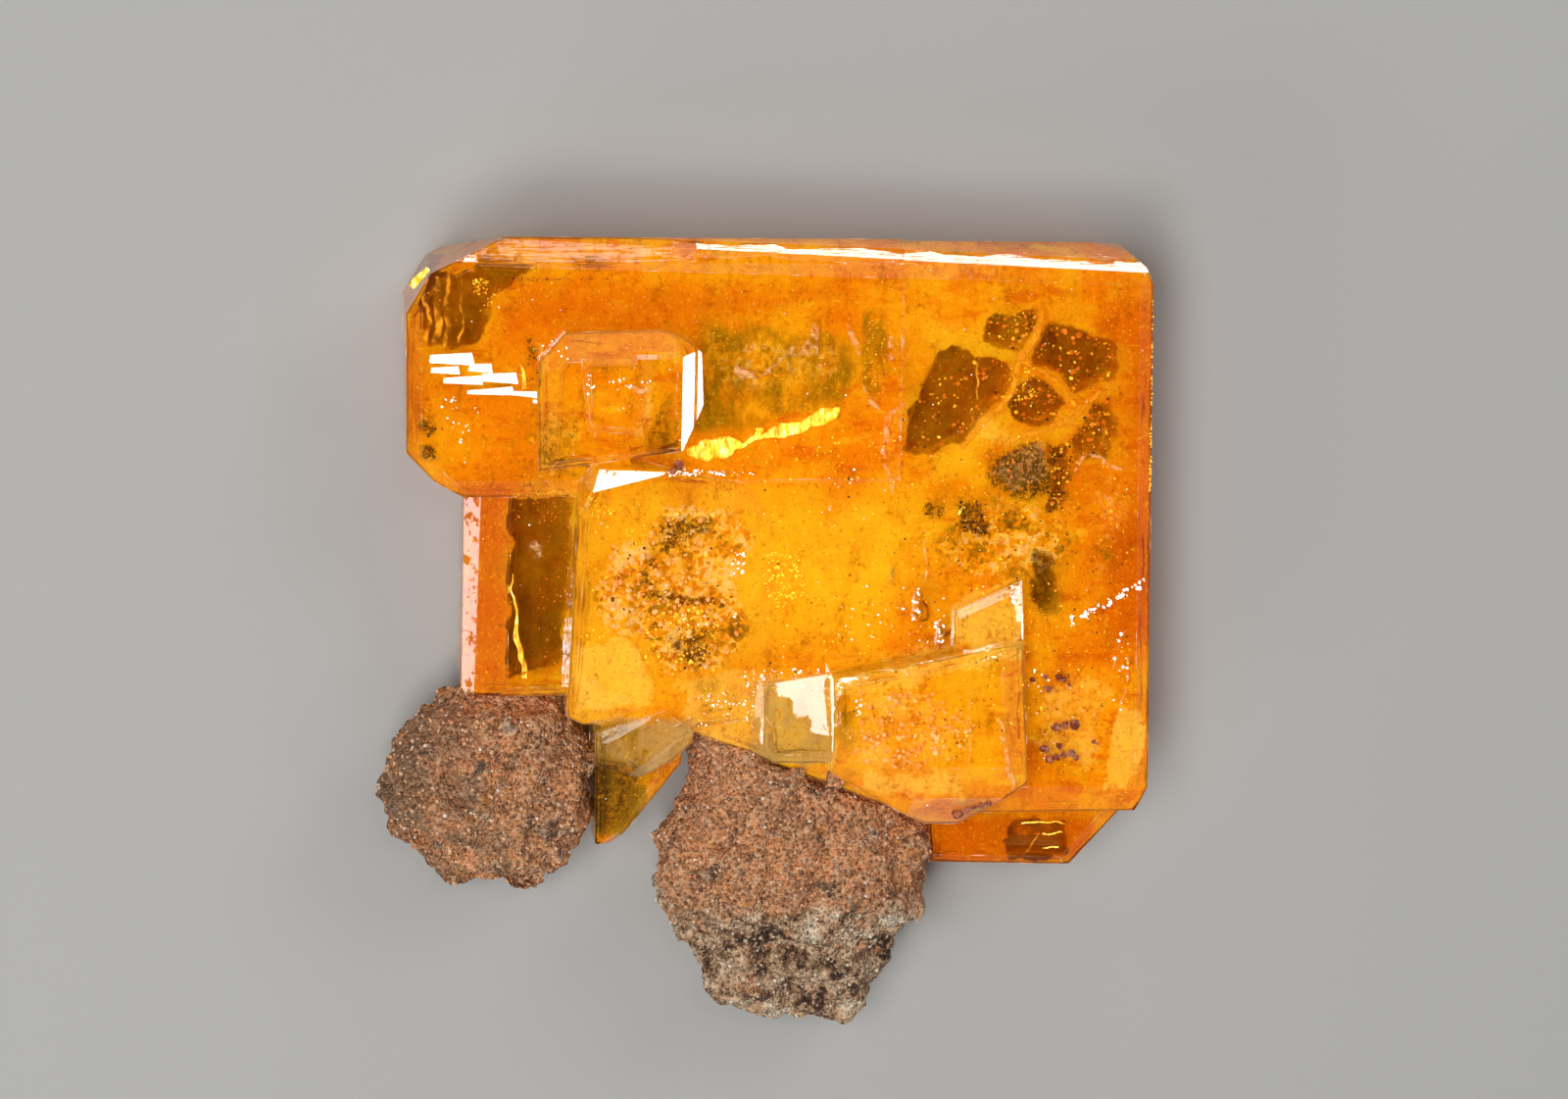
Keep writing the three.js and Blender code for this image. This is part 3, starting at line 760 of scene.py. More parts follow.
def cloud(name, depth, unevenness, lump_size, waver):
    """The crystals' shape pushed inwards by depth mm, give or take unevenness. Zone outlines waver."""
    made = wrapped(crystals, name, CLOUD_CELL)
    mesh = made.data
    points = vertices_of(mesh)
    swell = np.array([noise.fractal(Vector(p) / (lump_size * MM), 1.0, 2.0, 2) for p in points])
    normals = normals_of(mesh)
    facing = np.clip(normals[:, 2], 0, 1) ** FRONT_FOCUS
    inwards = (depth + unevenness * swell) * (SIDE_SHARE + (1 - SIDE_SHARE) * facing)
    points -= normals * np.clip(inwards, LEAST_DEPTH, None)[:, None] * MM
    points[:, 2] = np.maximum(points[:, 2], LEAST_DEPTH * MM)
    set_vertices(mesh, points)
    warp = np.array([noise.turbulence_vector(Vector(p) / (WARP_SIZE * MM), 3, False) for p in points])
    spots = on_crystals(points) + waver * warp
    for kind, zones in ZONES.items():
        hold(mesh, kind, belonging(spots, zones))
    mesh.shade_smooth()
    settle(made)
    return made


noise.seed_set(WARP_SEED)
outer_cloud = cloud("outer_cloud", 0.42, 0.35, 1.5, 0.3)
inner_cloud = cloud("inner_cloud", 1.7, 0.9, 2.6, 0.4)

# %% [markdown]
# The cloud's colour runs from deep orange at the rims to yellow in the middle. In the grainy zones it
# breaks up into pale crumbs with brown between them. Its alpha opens over the clear zones and lets a little
# light through everywhere, so that the inner cloud shows behind the outer one.

# %% Cloud material
RED_ORANGE = (0.69, 0.155, 0.001)
ORANGE = (0.82, 0.285, 0.002)
GOLD = (0.9, 0.47, 0.006)
YELLOW = (0.95, 0.65, 0.02)
PEACH = (1.0, 0.69, 0.1)
CREAM = (1.0, 0.78, 0.38)
PALE_GREY = (0.56, 0.38, 0.15)
OLIVE_BROWN = (0.4, 0.21, 0.003)
OLIVE_GOLD = (0.6, 0.32, 0.004)
RUSSET = (0.38, 0.09, 0.002)
BROWN = (0.1, 0.03, 0.003)
SHARP_KINDS = ("clear", "olive_and_shade", "pale", "grey", "grainy", "dirty")
EDGE_RAGGEDNESS = 1.3


def cloud_material(name, openness, window, painted_glow, seed):
    """Cloudy orange: how open it is, how much more in a window, its painted glow and its seed."""
    material, tree, shader = new_material(name)
    point = ground(tree)
    broad = mottle(point, 2.6, 3, seed=seed)
    wisps = mottle(ground(tree, (1, 0.5, 1)), 0.7, 5, 0.62, seed)
    fine = mottle(point, 0.2, 4, 0.65, seed + 5)
    specks = mottle(point, 0.09, 2, 0.5, seed + 9)
    streaks = mottle(ground(tree, (0.5, 1.4, 1)), 1.1, 6, 0.68, seed + 3)
    tone = cell_tone(point, 0.2)
    smoky = mottle(point, 1.3, 5, 0.66, seed + 11)
    share = {kind: attribute(tree, kind) for kind in ZONES}
    ragged = 0.7 * fine + 0.6 * wisps + 0.7 * smoky - 1.0
    for kind in SHARP_KINDS:
        share[kind] = (share[kind] + EDGE_RAGGEDNESS * ragged).ease(0.25, 0.75)
    grit = 0.35 * tone + 0.6 * fine + 1.4 * smoky - 0.74
    sugar = grit.ramp(
        (0.2, CREAM), (0.32, PEACH), (0.42, GOLD), (0.52, ORANGE), (0.62, OLIVE_BROWN), (0.8, BROWN)
    )
    body = layered(
        (broad + 0.5 * wisps).ease(0.6, 0.95).blend(ORANGE, GOLD),
        (streaks.ease(0.48, 0.36) * 0.8, RED_ORANGE),
        (streaks.ease(0.56, 0.68) * 0.7, YELLOW),
        (smoky.ease(0.54, 0.68) * 0.5, OLIVE_GOLD),
        (share["deep"] * 0.85, RED_ORANGE),
        (share["bright"] * (0.2 + wisps), YELLOW),
        (share["pale"] * (0.2 + fine), PEACH),
        (share["grey"] * (0.6 + 0.5 * fine), PALE_GREY),
        (share["olive_and_shade"] * wisps.ease(0.66, 0.42), OLIVE_BROWN),
        (share["grainy"] * 0.85, sugar),
        (share["dirty"] * (fine + 0.4 * wisps).ease(0.55, 0.8), BROWN),
        (fine.ease(0.44, 0.32) * 0.45, RUSSET),
        (fine.ease(0.56, 0.68) * 0.5, YELLOW),
        (specks.ease(0.36, 0.3) * 0.55, RUSSET),
        (specks.ease(0.64, 0.7) * 0.7, YELLOW),
    )
    veil = (wisps + 0.5 * fine).ease(0.42 + openness * 0.3, 0.62 + openness * 0.35)
    haze = 1 - openness + openness * veil
    dress(
        shader,
        Base_Color=body,
        Roughness=0.85,
        Specular_IOR_Level=0.0,
        Alpha=haze * (1 - share["clear"] * window * (0.6 + 0.7 * wisps)),
        # Painted light: the cloud glows a little in its own colour, standing in for light scattered inside.
        Emission_Color=body,
        Emission_Strength=painted_glow,
        Normal=bump(wisps + fine, 0.14),
    )
    print(name, len(tree.nodes), "nodes")
    return material


outer_cloud.data.materials.append(cloud_material("cloudy_wulfenite", 0.3, 0.95, 0.08, 1.0))
inner_cloud.data.materials.append(cloud_material("inner_haze", 0.45, 0.7, 0.04, 7.0))

# %% [markdown]
# Behind the clear windows the crystal is dark. That dark is painted shade: a thin sheet lies a hair inside
# the back face, dark behind the windows, so that they look down into shadow, and orange elsewhere.

# %% Painted shade on the back
SHADE_SHEET_HEIGHT = 0.06  # mm
SHADE_SHEET_CELL = 0.3  # mm
BACK_SKIN = 0.3  # mm. The back face is lower than this, and the undersides of the raised plates aren't
LOOKS_DOWN = -0.9  # a face whose normal is lower than this is an underside


def is_back(face):
    """Whether a face is part of the back."""
    return face.normal.z < LOOKS_DOWN and face.calc_center_median().z < BACK_SKIN * MM


shade_sheet = wrapped(crystals, "painted_shade_sheet", SHADE_SHEET_CELL)
keep_faces(shade_sheet.data, is_back)
points = vertices_of(shade_sheet.data)
points[:, 2] = SHADE_SHEET_HEIGHT * MM
set_vertices(shade_sheet.data, points)
behind_windows = [(1, 1.2, outline) for _, _, outline in CLEAR]
hold(shade_sheet.data, "clear", belonging(on_crystals(points), behind_windows))
shade_sheet_material, tree, shader = new_material("painted_window_shade")
patches = mottle(ground(tree), 0.9, 5, 0.65)
# Painted shade: dark olive where a window looks down on the sheet, orange under the cloud.
dark = patches.ease(0.4, 0.65).blend((0.09, 0.09, 0.005), (0.6, 0.58, 0.03))
orange = patches.ease(0.3, 0.7).blend((0.3, 0.09, 0.004), (0.55, 0.2, 0.01))
sheet_shade = (attribute(tree, "clear") + 0.6 * patches).ease(0.4, 0.8).blend(orange, dark)
dress(shader, Base_Color=sheet_shade, Roughness=0.55 + 0.3 * patches)
shade_sheet.data.materials.append(shade_sheet_material)
settle(shade_sheet)

# %% [markdown]
# ## Specks, flecks and crumbs
#
# Real inclusions are solids, so each is a small shard with flat sides. The script picks where they lie: at
# random inside an outline, at a depth under whichever crystal is in front there. One Geometry Nodes tree
# sets a shard on each point and turns it. `Tumble` is how far it may tip: scales on a face lie flat, and
# specks inside don't.

# %% Shards on points
FULL_TURN = (math.tau, math.tau, math.tau)


def with_shards(points, turn, shape):
    """Sets a shard with flat sides on each point, turned and shaped."""
    shard = points.node("GeometryNodeMeshIcoSphere", None, {"Radius": 0.5, "Subdivisions": 1})
    placing = {"Points": points, "Instance": shard, "Rotation": turn, "Scale": shape}
    return points.node("GeometryNodeInstanceOnPoints", None, placing)


shard_tree, given = begin_tree("shards_on_points", "Flatness", "Tumble", "Seed")
points = given["Geometry"]
size = points.node("GeometryNodeInputNamedAttribute", {"data_type": "FLOAT"}, {"Name": "size"})
tip = vector_of(given["Tumble"], given["Tumble"], 1.0)
turn = times(random_value(given["Seed"], (0, 0, 0), FULL_TURN), tip)
shape = random_value(given["Seed"] + 1, (0.7, 0.4, 0.5), (1, 0.9, 1))
shape = times(times(shape, vector_of(1.0, 1.0, given["Flatness"])), size)
end_tree(with_shards(points, turn, shape), given["Material"])
print("inputs of the shard tree:", list(given))


# %% Scattering
def scattered(rng, outline, count, sizes, depths):
    """Random points in an outline as (place, size). Sizes and depths under the front are ranges in mm."""
    xs = [x for x, _ in outline]
    ys = [y for _, y in outline]
    found = []
    while len(found) < count:
        x = rng.uniform(min(xs), max(xs))
        y = rng.uniform(min(ys), max(ys))
        size = sizes[0] + (sizes[1] - sizes[0]) * rng.random() ** 2
        depth = rng.uniform(*depths)
        if depth_inside(np.array([[x, y]]), outline)[0] > 0 and front(x, y)[0]:
            found.append((place(x, y, front_height(x, y) - depth), size * MM))
    return found


def shards(name, material, patches, seed, flatness=0.8, tumble=1.0):
    """A piece with shards in patches. A patch is its outline, how many, their sizes and their depths."""
    rng = random.Random(seed)
    found = [shard for patch in patches for shard in scattered(rng, *patch)]
    carrier = bpy.data.meshes.new(name)
    carrier.from_pydata([spot for spot, _ in found], [], [])
    hold(carrier, "size", [size for _, size in found])
    sizes = {"Flatness": flatness, "Tumble": tumble, "Seed": seed, "Material": material}
    return grow(shard_tree, carrier, name, sizes)


def speck_material(name, colour, other, painted_glow=0.0, roughness=0.5):
    """A plain stony finish whose colour wanders between two, with a painted glow where one is given."""
    material, tree, shader = new_material(name)
    tone = mottle(ground(tree), 0.35, 2, seed=3).ease(0.4, 0.6)
    tint = tone.blend(colour, other)
    dress(
        shader,
        Base_Color=tint,
        Roughness=roughness + 0.1 * tone,
        Emission_Color=tint,
        Emission_Strength=painted_glow,
    )
    return material


# %% [markdown]
# Each line of a list is an outline, how many shards it gets, their smallest and largest size, and how deep
# they lie. Dark ones are iron oxide.

# %% Dark specks
WHOLE_FRONT = box(0.8, 29.6, 2.4, 25.2)
DIRTIER = [(14.0, 18.0), (20.0, 19.0), (29.6, 18.0), (29.6, 3.0), (14.0, 8.0)]
SUGARY = [(18.1, 8.2), (21.7, 8.0), (23.0, 6.7), (22.5, 5.1), (20.6, 4.8), (18.3, 5.1), (17.6, 6.6)]
WINDOWS = [outline for _, _, outline in CLEAR[:6]]
DARK = [
    (WHOLE_FRONT, 200, (0.03, 0.1), (0.1, 0.4)),
    (DIRTIER, 420, (0.03, 0.14), (0.1, 0.4)),
    (box(4.2, 8.0, 24.45, 24.6), 40, (0.05, 0.13), (0.05, 0.2)),
    (GREY_PATCH, 50, (0.05, 0.16), (0.1, 0.5)),
    (DARK_CLUSTER, 60, (0.06, 0.2), (0.1, 0.5)),
    (box(20.9, 21.7, 15.0, 15.5), 16, (0.05, 0.14), (0.1, 0.4)),
    (box(0.6, 1.2, 18.2, 18.9), 14, (0.05, 0.16), (0.1, 0.4)),
    (box(0.7, 1.3, 17.3, 17.8), 14, (0.05, 0.16), (0.1, 0.4)),
    (box(4.8, 5.3, 20.4, 22.2), 26, (0.05, 0.14), (0.1, 0.4)),
    (box(25.8, 26.9, 15.0, 18.0), 70, (0.05, 0.16), (0.1, 0.5)),
    (GRAINY[0][2], 70, (0.05, 0.2), (0.05, 0.3)),
    (box(9.6, 12.6, 9.4, 10.8), 60, (0.05, 0.14), (0.05, 0.3)),
    (GRAINY[1][2], 120, (0.05, 0.14), (0.1, 0.6)),
    (GRAINY[2][2], 40, (0.05, 0.12), (0.1, 0.5)),
    (GRAINY[4][2], 50, (0.05, 0.13), (0.1, 0.5)),
    (box(4.4, 7.2, 15.6, 17.4), 50, (0.05, 0.12), (0.1, 0.4)),
    (box(17.6, 18.4, 7.0, 7.4), 8, (0.06, 0.12), (0.05, 0.2)),
]
DARK += [(window, 30, (0.05, 0.22), (0.2, 1.6)) for window in WINDOWS]
dark_oxide = speck_material("dark_oxide", (0.02, 0.008, 0.003), (0.09, 0.03, 0.01))
shards("dark_specks", dark_oxide, DARK, 2)

# %% Gold flecks that glow as painted glints
GOLD_CLUSTER = [(14.3, 13.5), (15.8, 13.4), (16.4, 11.8), (15.1, 10.9), (14.4, 11.8)]
GOLD_PATCHES = [
    (WHOLE_FRONT, 900, (0.03, 0.1), (0.05, 0.35)),
    (DIRTIER, 800, (0.04, 0.16), (0.05, 0.3)),
    (box(2.65, 3.25, 23.9, 24.5), 45, (0.08, 0.18), (0.4, 0.8)),
    ([(3.2, 23.4), (3.9, 24.0), (3.6, 24.2), (2.9, 23.2)], 16, (0.05, 0.12), (0.3, 0.6)),
    (box(4.3, 7.5, 15.7, 16.0), 70, (0.05, 0.12), (0.1, 0.35)),
    (GOLD_CLUSTER, 150, (0.07, 0.22), (0.05, 0.3)),
    (box(9.6, 12.6, 8.6, 11.4), 110, (0.06, 0.24), (0.05, 0.25)),
    (box(7.4, 13.4, 12.0, 15.8), 60, (0.05, 0.22), (0.05, 0.25)),
    (box(7.2, 8.6, 9.6, 10.7), 50, (0.06, 0.18), (0.1, 0.4)),
    (box(9.6, 11.3, 9.1, 11.2), 90, (0.05, 0.18), (0.1, 0.4)),
    (box(7.3, 9.0, 15.2, 15.8), 40, (0.05, 0.14), (0.1, 0.4)),
    (box(8.6, 9.6, 14.4, 15.0), 24, (0.05, 0.16), (0.1, 0.4)),
    (box(18.3, 19.2, 19.9, 23.0), 70, (0.04, 0.14), (0.1, 0.5)),
    (box(24.2, 25.2, 19.6, 21.3), 60, (0.05, 0.14), (0.15, 0.4)),
    ([(29.9, 24.2), (30.15, 24.2), (30.3, 16.0), (30.05, 16.0)], 110, (0.06, 0.17), (0.02, 0.1)),
    (box(13.0, 17.6, 16.6, 18.2), 40, (0.05, 0.15), (0.1, 0.5)),
    (box(25.3, 28.6, 8.6, 11.4), 50, (0.04, 0.12), (0.1, 0.5)),
    (box(11.4, 13.0, 7.2, 8.4), 30, (0.05, 0.12), (0.1, 0.4)),
]
GOLD_PATCHES += [(window, 40, (0.04, 0.24), (0.2, 1.6)) for window in WINDOWS]
# Painted glints: the gold flecks glow, as sparks of light caught inside the crystal.
gold = speck_material("gold_glint_fleck", (1.0, 0.5, 0.02), (1.0, 0.78, 0.06), 0.5, 0.3)
shards("gold_glint_flecks", gold, GOLD_PATCHES, 3)

# %% Orange specks in the windows
RUST = [
    (box(5.4, 6.8, 9.0, 15.6), 60, (0.05, 0.16), (0.3, 2.0)),
    (box(4.4, 6.8, 14.6, 15.7), 60, (0.05, 0.15), (0.2, 1.0)),
    (GREY_PATCH, 40, (0.06, 0.18), (0.1, 0.4)),
]
RUST += [(window, 60, (0.06, 0.34), (0.2, 2.0)) for window in WINDOWS]
# Painted light: the specks glow faintly.
rust = speck_material("orange_speck", (0.85, 0.2, 0.01), (1.0, 0.38, 0.03), 0.15)
shards("orange_specks", rust, RUST, 4)

# %% Pale crumbs
CRUMBS = [
    (GRAINY[0][2], 130, (0.08, 0.4), (0.05, 0.3)),
    (box(8.0, 11.4, 11.4, 13.6), 90, (0.1, 0.42), (0.05, 0.3)),
    (box(7.6, 13.6, 8.6, 15.8), 70, (0.05, 0.2), (0.05, 0.4)),
    (SUGARY, 260, (0.08, 0.36), (0.05, 0.35)),
    (GRAINY[1][2], 50, (0.05, 0.16), (0.12, 0.5)),
    (box(13.2, 17.0, 7.6, 8.6), 120, (0.06, 0.2), (0.08, 0.4)),
    (box(11.4, 14.4, 5.6, 8.0), 110, (0.05, 0.2), (0.05, 0.3)),
    (box(25.6, 28.4, 5.0, 8.2), 60, (0.06, 0.2), (0.1, 0.4)),
    (WHOLE_FRONT, 120, (0.04, 0.1), (0.1, 0.5)),
]
# Painted light: the crumbs glow faintly.
crumb = speck_material("pale_crumb", (0.9, 0.42, 0.09), (1.0, 0.68, 0.27), 0.1, 0.6)
shards("pale_crumbs", crumb, CRUMBS, 5)

# %% White scales on the faces, glowing as painted glints
ON_FACE = (-0.02, -0.005)
GLINT_SCALES = [
    ([(1.3, 19.6), (1.9, 19.8), (2.8, 18.2), (2.2, 17.8)], 20, (0.05, 0.17), ON_FACE),
    (box(13.0, 13.6, 12.6, 13.7), 22, (0.05, 0.22), ON_FACE),
    (box(10.9, 13.3, 10.6, 11.1), 12, (0.05, 0.18), ON_FACE),
    (box(11.8, 14.1, 6.4, 7.8), 64, (0.03, 0.18), ON_FACE),
    (box(13.7, 17.2, 7.9, 8.7), 60, (0.03, 0.16), ON_FACE),
    ([(10.4, 16.97), (12.6, 16.82), (12.6, 16.68), (10.4, 16.8)], 46, (0.06, 0.16), ON_FACE),
    ([(12.4, 16.85), (14.0, 16.75), (14.0, 16.6), (12.4, 16.65)], 12, (0.06, 0.14), ON_FACE),
    (box(7.1, 7.7, 20.1, 21.1), 9, (0.07, 0.17), ON_FACE),
    (box(8.0, 9.7, 20.3, 20.8), 14, (0.07, 0.17), ON_FACE),
    (box(20.45, 20.75, 10.7, 12.1), 16, (0.08, 0.2), ON_FACE),
    (box(21.4, 21.8, 9.8, 10.7), 12, (0.08, 0.2), ON_FACE),
    (box(18.05, 18.3, 7.0, 7.8), 9, (0.08, 0.2), ON_FACE),
    (box(24.35, 24.8, 11.3, 12.3), 14, (0.08, 0.22), ON_FACE),
    (box(5.2, 6.4, 21.4, 22.2), 6, (0.1, 0.24), ON_FACE),
    (box(17.4, 22.0, 9.6, 12.2), 26, (0.06, 0.18), ON_FACE),
    ([(27.0, 10.4), (30.0, 12.1), (30.0, 12.4), (27.0, 10.8)], 60, (0.08, 0.26), ON_FACE),
    (box(28.8, 29.4, 6.6, 10.2), 12, (0.07, 0.2), ON_FACE),
    (box(25.2, 27.2, 7.7, 8.6), 12, (0.06, 0.16), ON_FACE),
    (WHOLE_FRONT, 160, (0.03, 0.09), ON_FACE),
    (box(16.6, 18.2, 15.0, 17.0), 8, (0.06, 0.16), ON_FACE),
]
# Painted highlights: flat white scales that glow, as small glints of light off the faces.
scale = speck_material("white_glint_scale", (1.0, 0.93, 0.8), (1.0, 0.98, 0.93), 0.8, 0.25)
shards("white_glint_scales", scale, GLINT_SCALES, 6, flatness=0.12, tumble=0.02)

# %% [markdown]
# Beads of brown iron oxide sit on the front, most of them at the lower right, some alone and some in rows.
# Each is a ball that noise has made knobbly.

# %% Oxide beads
KNOB_SIZE = 0.14  # mm
KNOB_RISE = 0.09  # mm
# Each is x, y and its width in mm.
BEADS = [
    (26.55, 6.2, 0.4), (26.9, 6.3, 0.34), (27.3, 6.3, 0.46), (26.1, 5.3, 0.34), (26.7, 5.4, 0.3),
    (26.3, 4.85, 0.34), (26.6, 4.95, 0.3), (26.9, 5.0, 0.26), (27.2, 5.1, 0.32), (27.4, 4.9, 0.26),
    (25.5, 8.2, 0.22), (26.0, 8.3, 0.24), (26.15, 7.8, 0.28), (26.6, 8.3, 0.3), (26.8, 8.2, 0.26),
    (22.5, 2.75, 0.5), (22.8, 2.95, 0.36), (23.1, 3.1, 0.3), (23.4, 3.2, 0.3), (23.7, 3.3, 0.24),
    (27.05, 8.0, 0.18), (28.1, 5.6, 0.2), (28.3, 5.5, 0.16), (10.9, 17.05, 0.42), (10.6, 16.95, 0.3),
]
balls = bmesh.new()
for x, y, width in BEADS:
    middle = Matrix.Translation(place(x, y, front_height(x, y)))
    bmesh.ops.create_icosphere(balls, subdivisions=2, radius=width / 2 * MM, matrix=middle)
bead_mesh = bpy.data.meshes.new("oxide_beads")
balls.to_mesh(bead_mesh)
balls.free()
points = vertices_of(bead_mesh)
knobs = np.array([noise.fractal(Vector(p) / (KNOB_SIZE * MM), 1.0, 2.0, 2) for p in points])
set_vertices(bead_mesh, points + normals_of(bead_mesh) * (KNOB_RISE * MM * knobs)[:, None])
bead_oxide = speck_material("bead_oxide", (0.26, 0.05, 0.02), (0.58, 0.2, 0.09), roughness=0.25)
bead_mesh.materials.append(bead_oxide)
settle(add_object("oxide_beads", bead_mesh))

# %% [markdown]
# ## Seams
#
# Healed cracks, veils and slivers of trapped light are thin bodies that follow a path. Each path is a short
# list of places with a width at each. The tree runs a flat lens shape along it. Noise bends the path and
# varies the width.

# %% Seams along a path
BENDS = 1.1  # to the mm
WIDENINGS = 1.3  # to the mm
SIDEWAYS = 0.5 * MM  # how far a path bends
UP_AND_DOWN = 0.1 * MM


def swept(path, outline, width):
    """Runs an outline along a path, wider and narrower."""
    sweep = {"Curve": path, "Profile Curve": outline, "Scale": width, "Fill Caps": True}
    return path.node("GeometryNodeCurveToMesh", None, sweep)


seam_tree, given = begin_tree("seams_along_paths", "Thickness", "Step")
path = given["Geometry"].node("GeometryNodeMeshToCurve", None, {0: given["Geometry"]})
width = path.node("GeometryNodeInputNamedAttribute", {"data_type": "FLOAT"}, {"Name": "width"})
path = path.node("GeometryNodeCurveSplineType", {"spline_type": "CATMULL_ROM"}, {0: path})
path = path.node("GeometryNodeResampleCurve", {"mode": "LENGTH"}, {0: path, "Length": given["Step"]})
path = path.node("GeometryNodeSetCurveNormal", {"mode": "Z_UP"}, {0: path})
spot = path.node("GeometryNodeInputPosition")
widen = {"Vector": spot, "Scale": WIDENINGS / MM, "Detail": 2.0}
grain = path.node("ShaderNodeTexNoise", None, widen, "Fac")
wind = {"Vector": spot, "Scale": BENDS / MM, "Detail": 1.0}
bend = path.node("ShaderNodeTexNoise", None, wind, "Color")
bend = path.node("ShaderNodeVectorMath", {"operation": "SUBTRACT"}, {0: bend, 1: (0.5, 0.5, 0.5)})
bend = times(bend, (SIDEWAYS, SIDEWAYS, UP_AND_DOWN))
path = path.node("GeometryNodeSetPosition", None, {"Geometry": path, "Offset": bend})
width = width * (0.3 + 1.4 * grain)
lens = path.node("GeometryNodeCurvePrimitiveCircle", None, {"Resolution": 8, "Radius": 0.5})
squeeze = vector_of(1.0, given["Thickness"], 1.0)
lens = path.node("GeometryNodeTransform", None, {"Geometry": lens, "Scale": squeeze})
end_tree(swept(path, lens, width), given["Material"])
print("inputs of the seam tree:", list(given))


# %% Running seams
def seams(name, material, paths, thickness=0.1, step=0.12):
    """A piece with one flat seam for each path. A path is its depth and its places: x, y and width."""
    corners = []
    edges = []
    widths = []
    for depth, places in paths:
        start = len(corners)
        edges += [(start + i, start + i + 1) for i in range(len(places) - 1)]
        corners += [place(x, y, front_height(x, y) - depth) for x, y, _ in places]
        widths += [width * MM for _, _, width in places]
    carrier = bpy.data.meshes.new(name)
    carrier.from_pydata(corners, edges, [])
    hold(carrier, "width", widths)
    sizes = {"Thickness": thickness, "Step": step * MM, "Material": material}
    return grow(seam_tree, carrier, name, sizes)


# %% Slivers of trapped light
sliver_material, tree, shader = new_material("light_sliver")
ripple = mottle(ground(tree, (1.4, 0.5, 1)), 0.25, 4, 0.65)
shine = ripple.ramp(
    (0.36, (0.45, 0.18, 0.0)), (0.48, (0.95, 0.5, 0.0)), (0.58, (1.0, 0.85, 0.15)), (0.7, (1.0, 1.0, 0.7))
)
# Painted light: the slivers glow, deep orange to a white core, as glints caught in a crack.
dress(shader, Base_Color=shine, Roughness=0.4, Emission_Color=shine, Emission_Strength=0.8)
SLIVERS = [
    (0.12, [(11.2, 17.5, 0.25), (11.7, 17.65, 0.8), (12.4, 17.75, 0.95), (13.0, 17.8, 0.7),
        (13.6, 17.9, 0.1)]),
    (0.12, [(13.0, 17.65, 0.1), (13.5, 17.85, 0.16), (13.85, 18.15, 0.22), (14.05, 18.6, 0.3)]),
    (0.12, [(13.9, 18.1, 0.08), (15.0, 18.45, 0.5), (15.9, 18.75, 0.6), (16.7, 19.05, 0.6),
        (17.4, 19.35, 0.15)]),
    (0.35, [(4.35, 12.4, 0.04), (4.45, 11.2, 0.12), (4.65, 9.6, 0.2), (4.9, 8.1, 0.22)]),
    (0.3, [(21.85, 14.7, 0.2), (22.1, 15.1, 0.32), (22.4, 15.55, 0.2)]),
    (0.2, [(4.55, 21.1, 0.1), (4.65, 20.5, 0.18), (4.95, 19.7, 0.12)]),
    (0.25, [(0.2, 24.1, 0.3), (0.45, 24.55, 0.3), (0.8, 24.9, 0.2)]),
    (0.2, [(26.4, 0.72, 0.05), (27.1, 0.72, 0.07)]),
    (0.2, [(26.3, 1.35, 0.07), (27.2, 1.35, 0.07)]),
    (0.2, [(25.5, 1.75, 0.06), (27.3, 1.75, 0.06)]),
]
seams("light_slivers", sliver_material, SLIVERS)

# %% Healed cracks
crack_material, tree, shader = new_material("healed_crack")
cloudiness = mottle(ground(tree), 0.5, 4, 0.6)
tint = cloudiness.ramp((0.3, (0.85, 0.29, 0.003)), (0.6, (0.95, 0.45, 0.006)), (0.75, (1.0, 0.62, 0.03)))
dress(
    shader,
    Base_Color=tint,
    Roughness=0.8,
    Alpha=0.05 + 0.65 * cloudiness.ease(0.42, 0.62),
    # Painted light: the cracks glow faintly in their own tint.
    Emission_Color=tint,
    Emission_Strength=0.2,
)
CRACKS = [
    (0.22, [(24.5, 21.45, 0.3), (25.3, 21.15, 0.16), (26.1, 20.45, 0.13), (26.95, 19.5, 0.16)]),
    (0.3, [(22.9, 21.5, 0.08), (22.93, 20.6, 0.1), (22.9, 19.8, 0.05)]),
    (0.22, [(25.4, 23.3, 0.05), (25.2, 22.4, 0.3), (24.8, 21.7, 0.35), (24.5, 21.3, 0.25)]),
    (0.22, [(24.5, 21.3, 0.2), (24.4, 20.5, 0.2), (23.9, 19.6, 0.25), (23.2, 18.9, 0.3),
        (22.3, 17.7, 0.2)]),
    (0.22, [(28.4, 20.6, 0.05), (27.7, 19.9, 0.2), (26.8, 19.1, 0.35), (25.6, 18.45, 0.25),
        (24.4, 18.1, 0.2)]),
    (0.3, [(0.85, 24.5, 0.2), (0.87, 22.9, 0.16), (0.85, 22.0, 0.2)]),
    (0.3, [(1.2, 24.6, 0.14), (1.25, 22.9, 0.3), (1.2, 21.9, 0.2)]),
    (0.35, [(1.65, 24.7, 0.1), (1.68, 23.0, 0.24), (1.62, 21.8, 0.14)]),
    (0.35, [(2.15, 24.6, 0.08), (2.2, 22.9, 0.12), (2.1, 21.9, 0.08)]),
    (0.2, [(25.6, 0.3, 0.08), (25.9, 0.7, 0.12), (26.1, 1.3, 0.06)]),
]
seams("healed_cracks", crack_material, CRACKS, thickness=0.08)

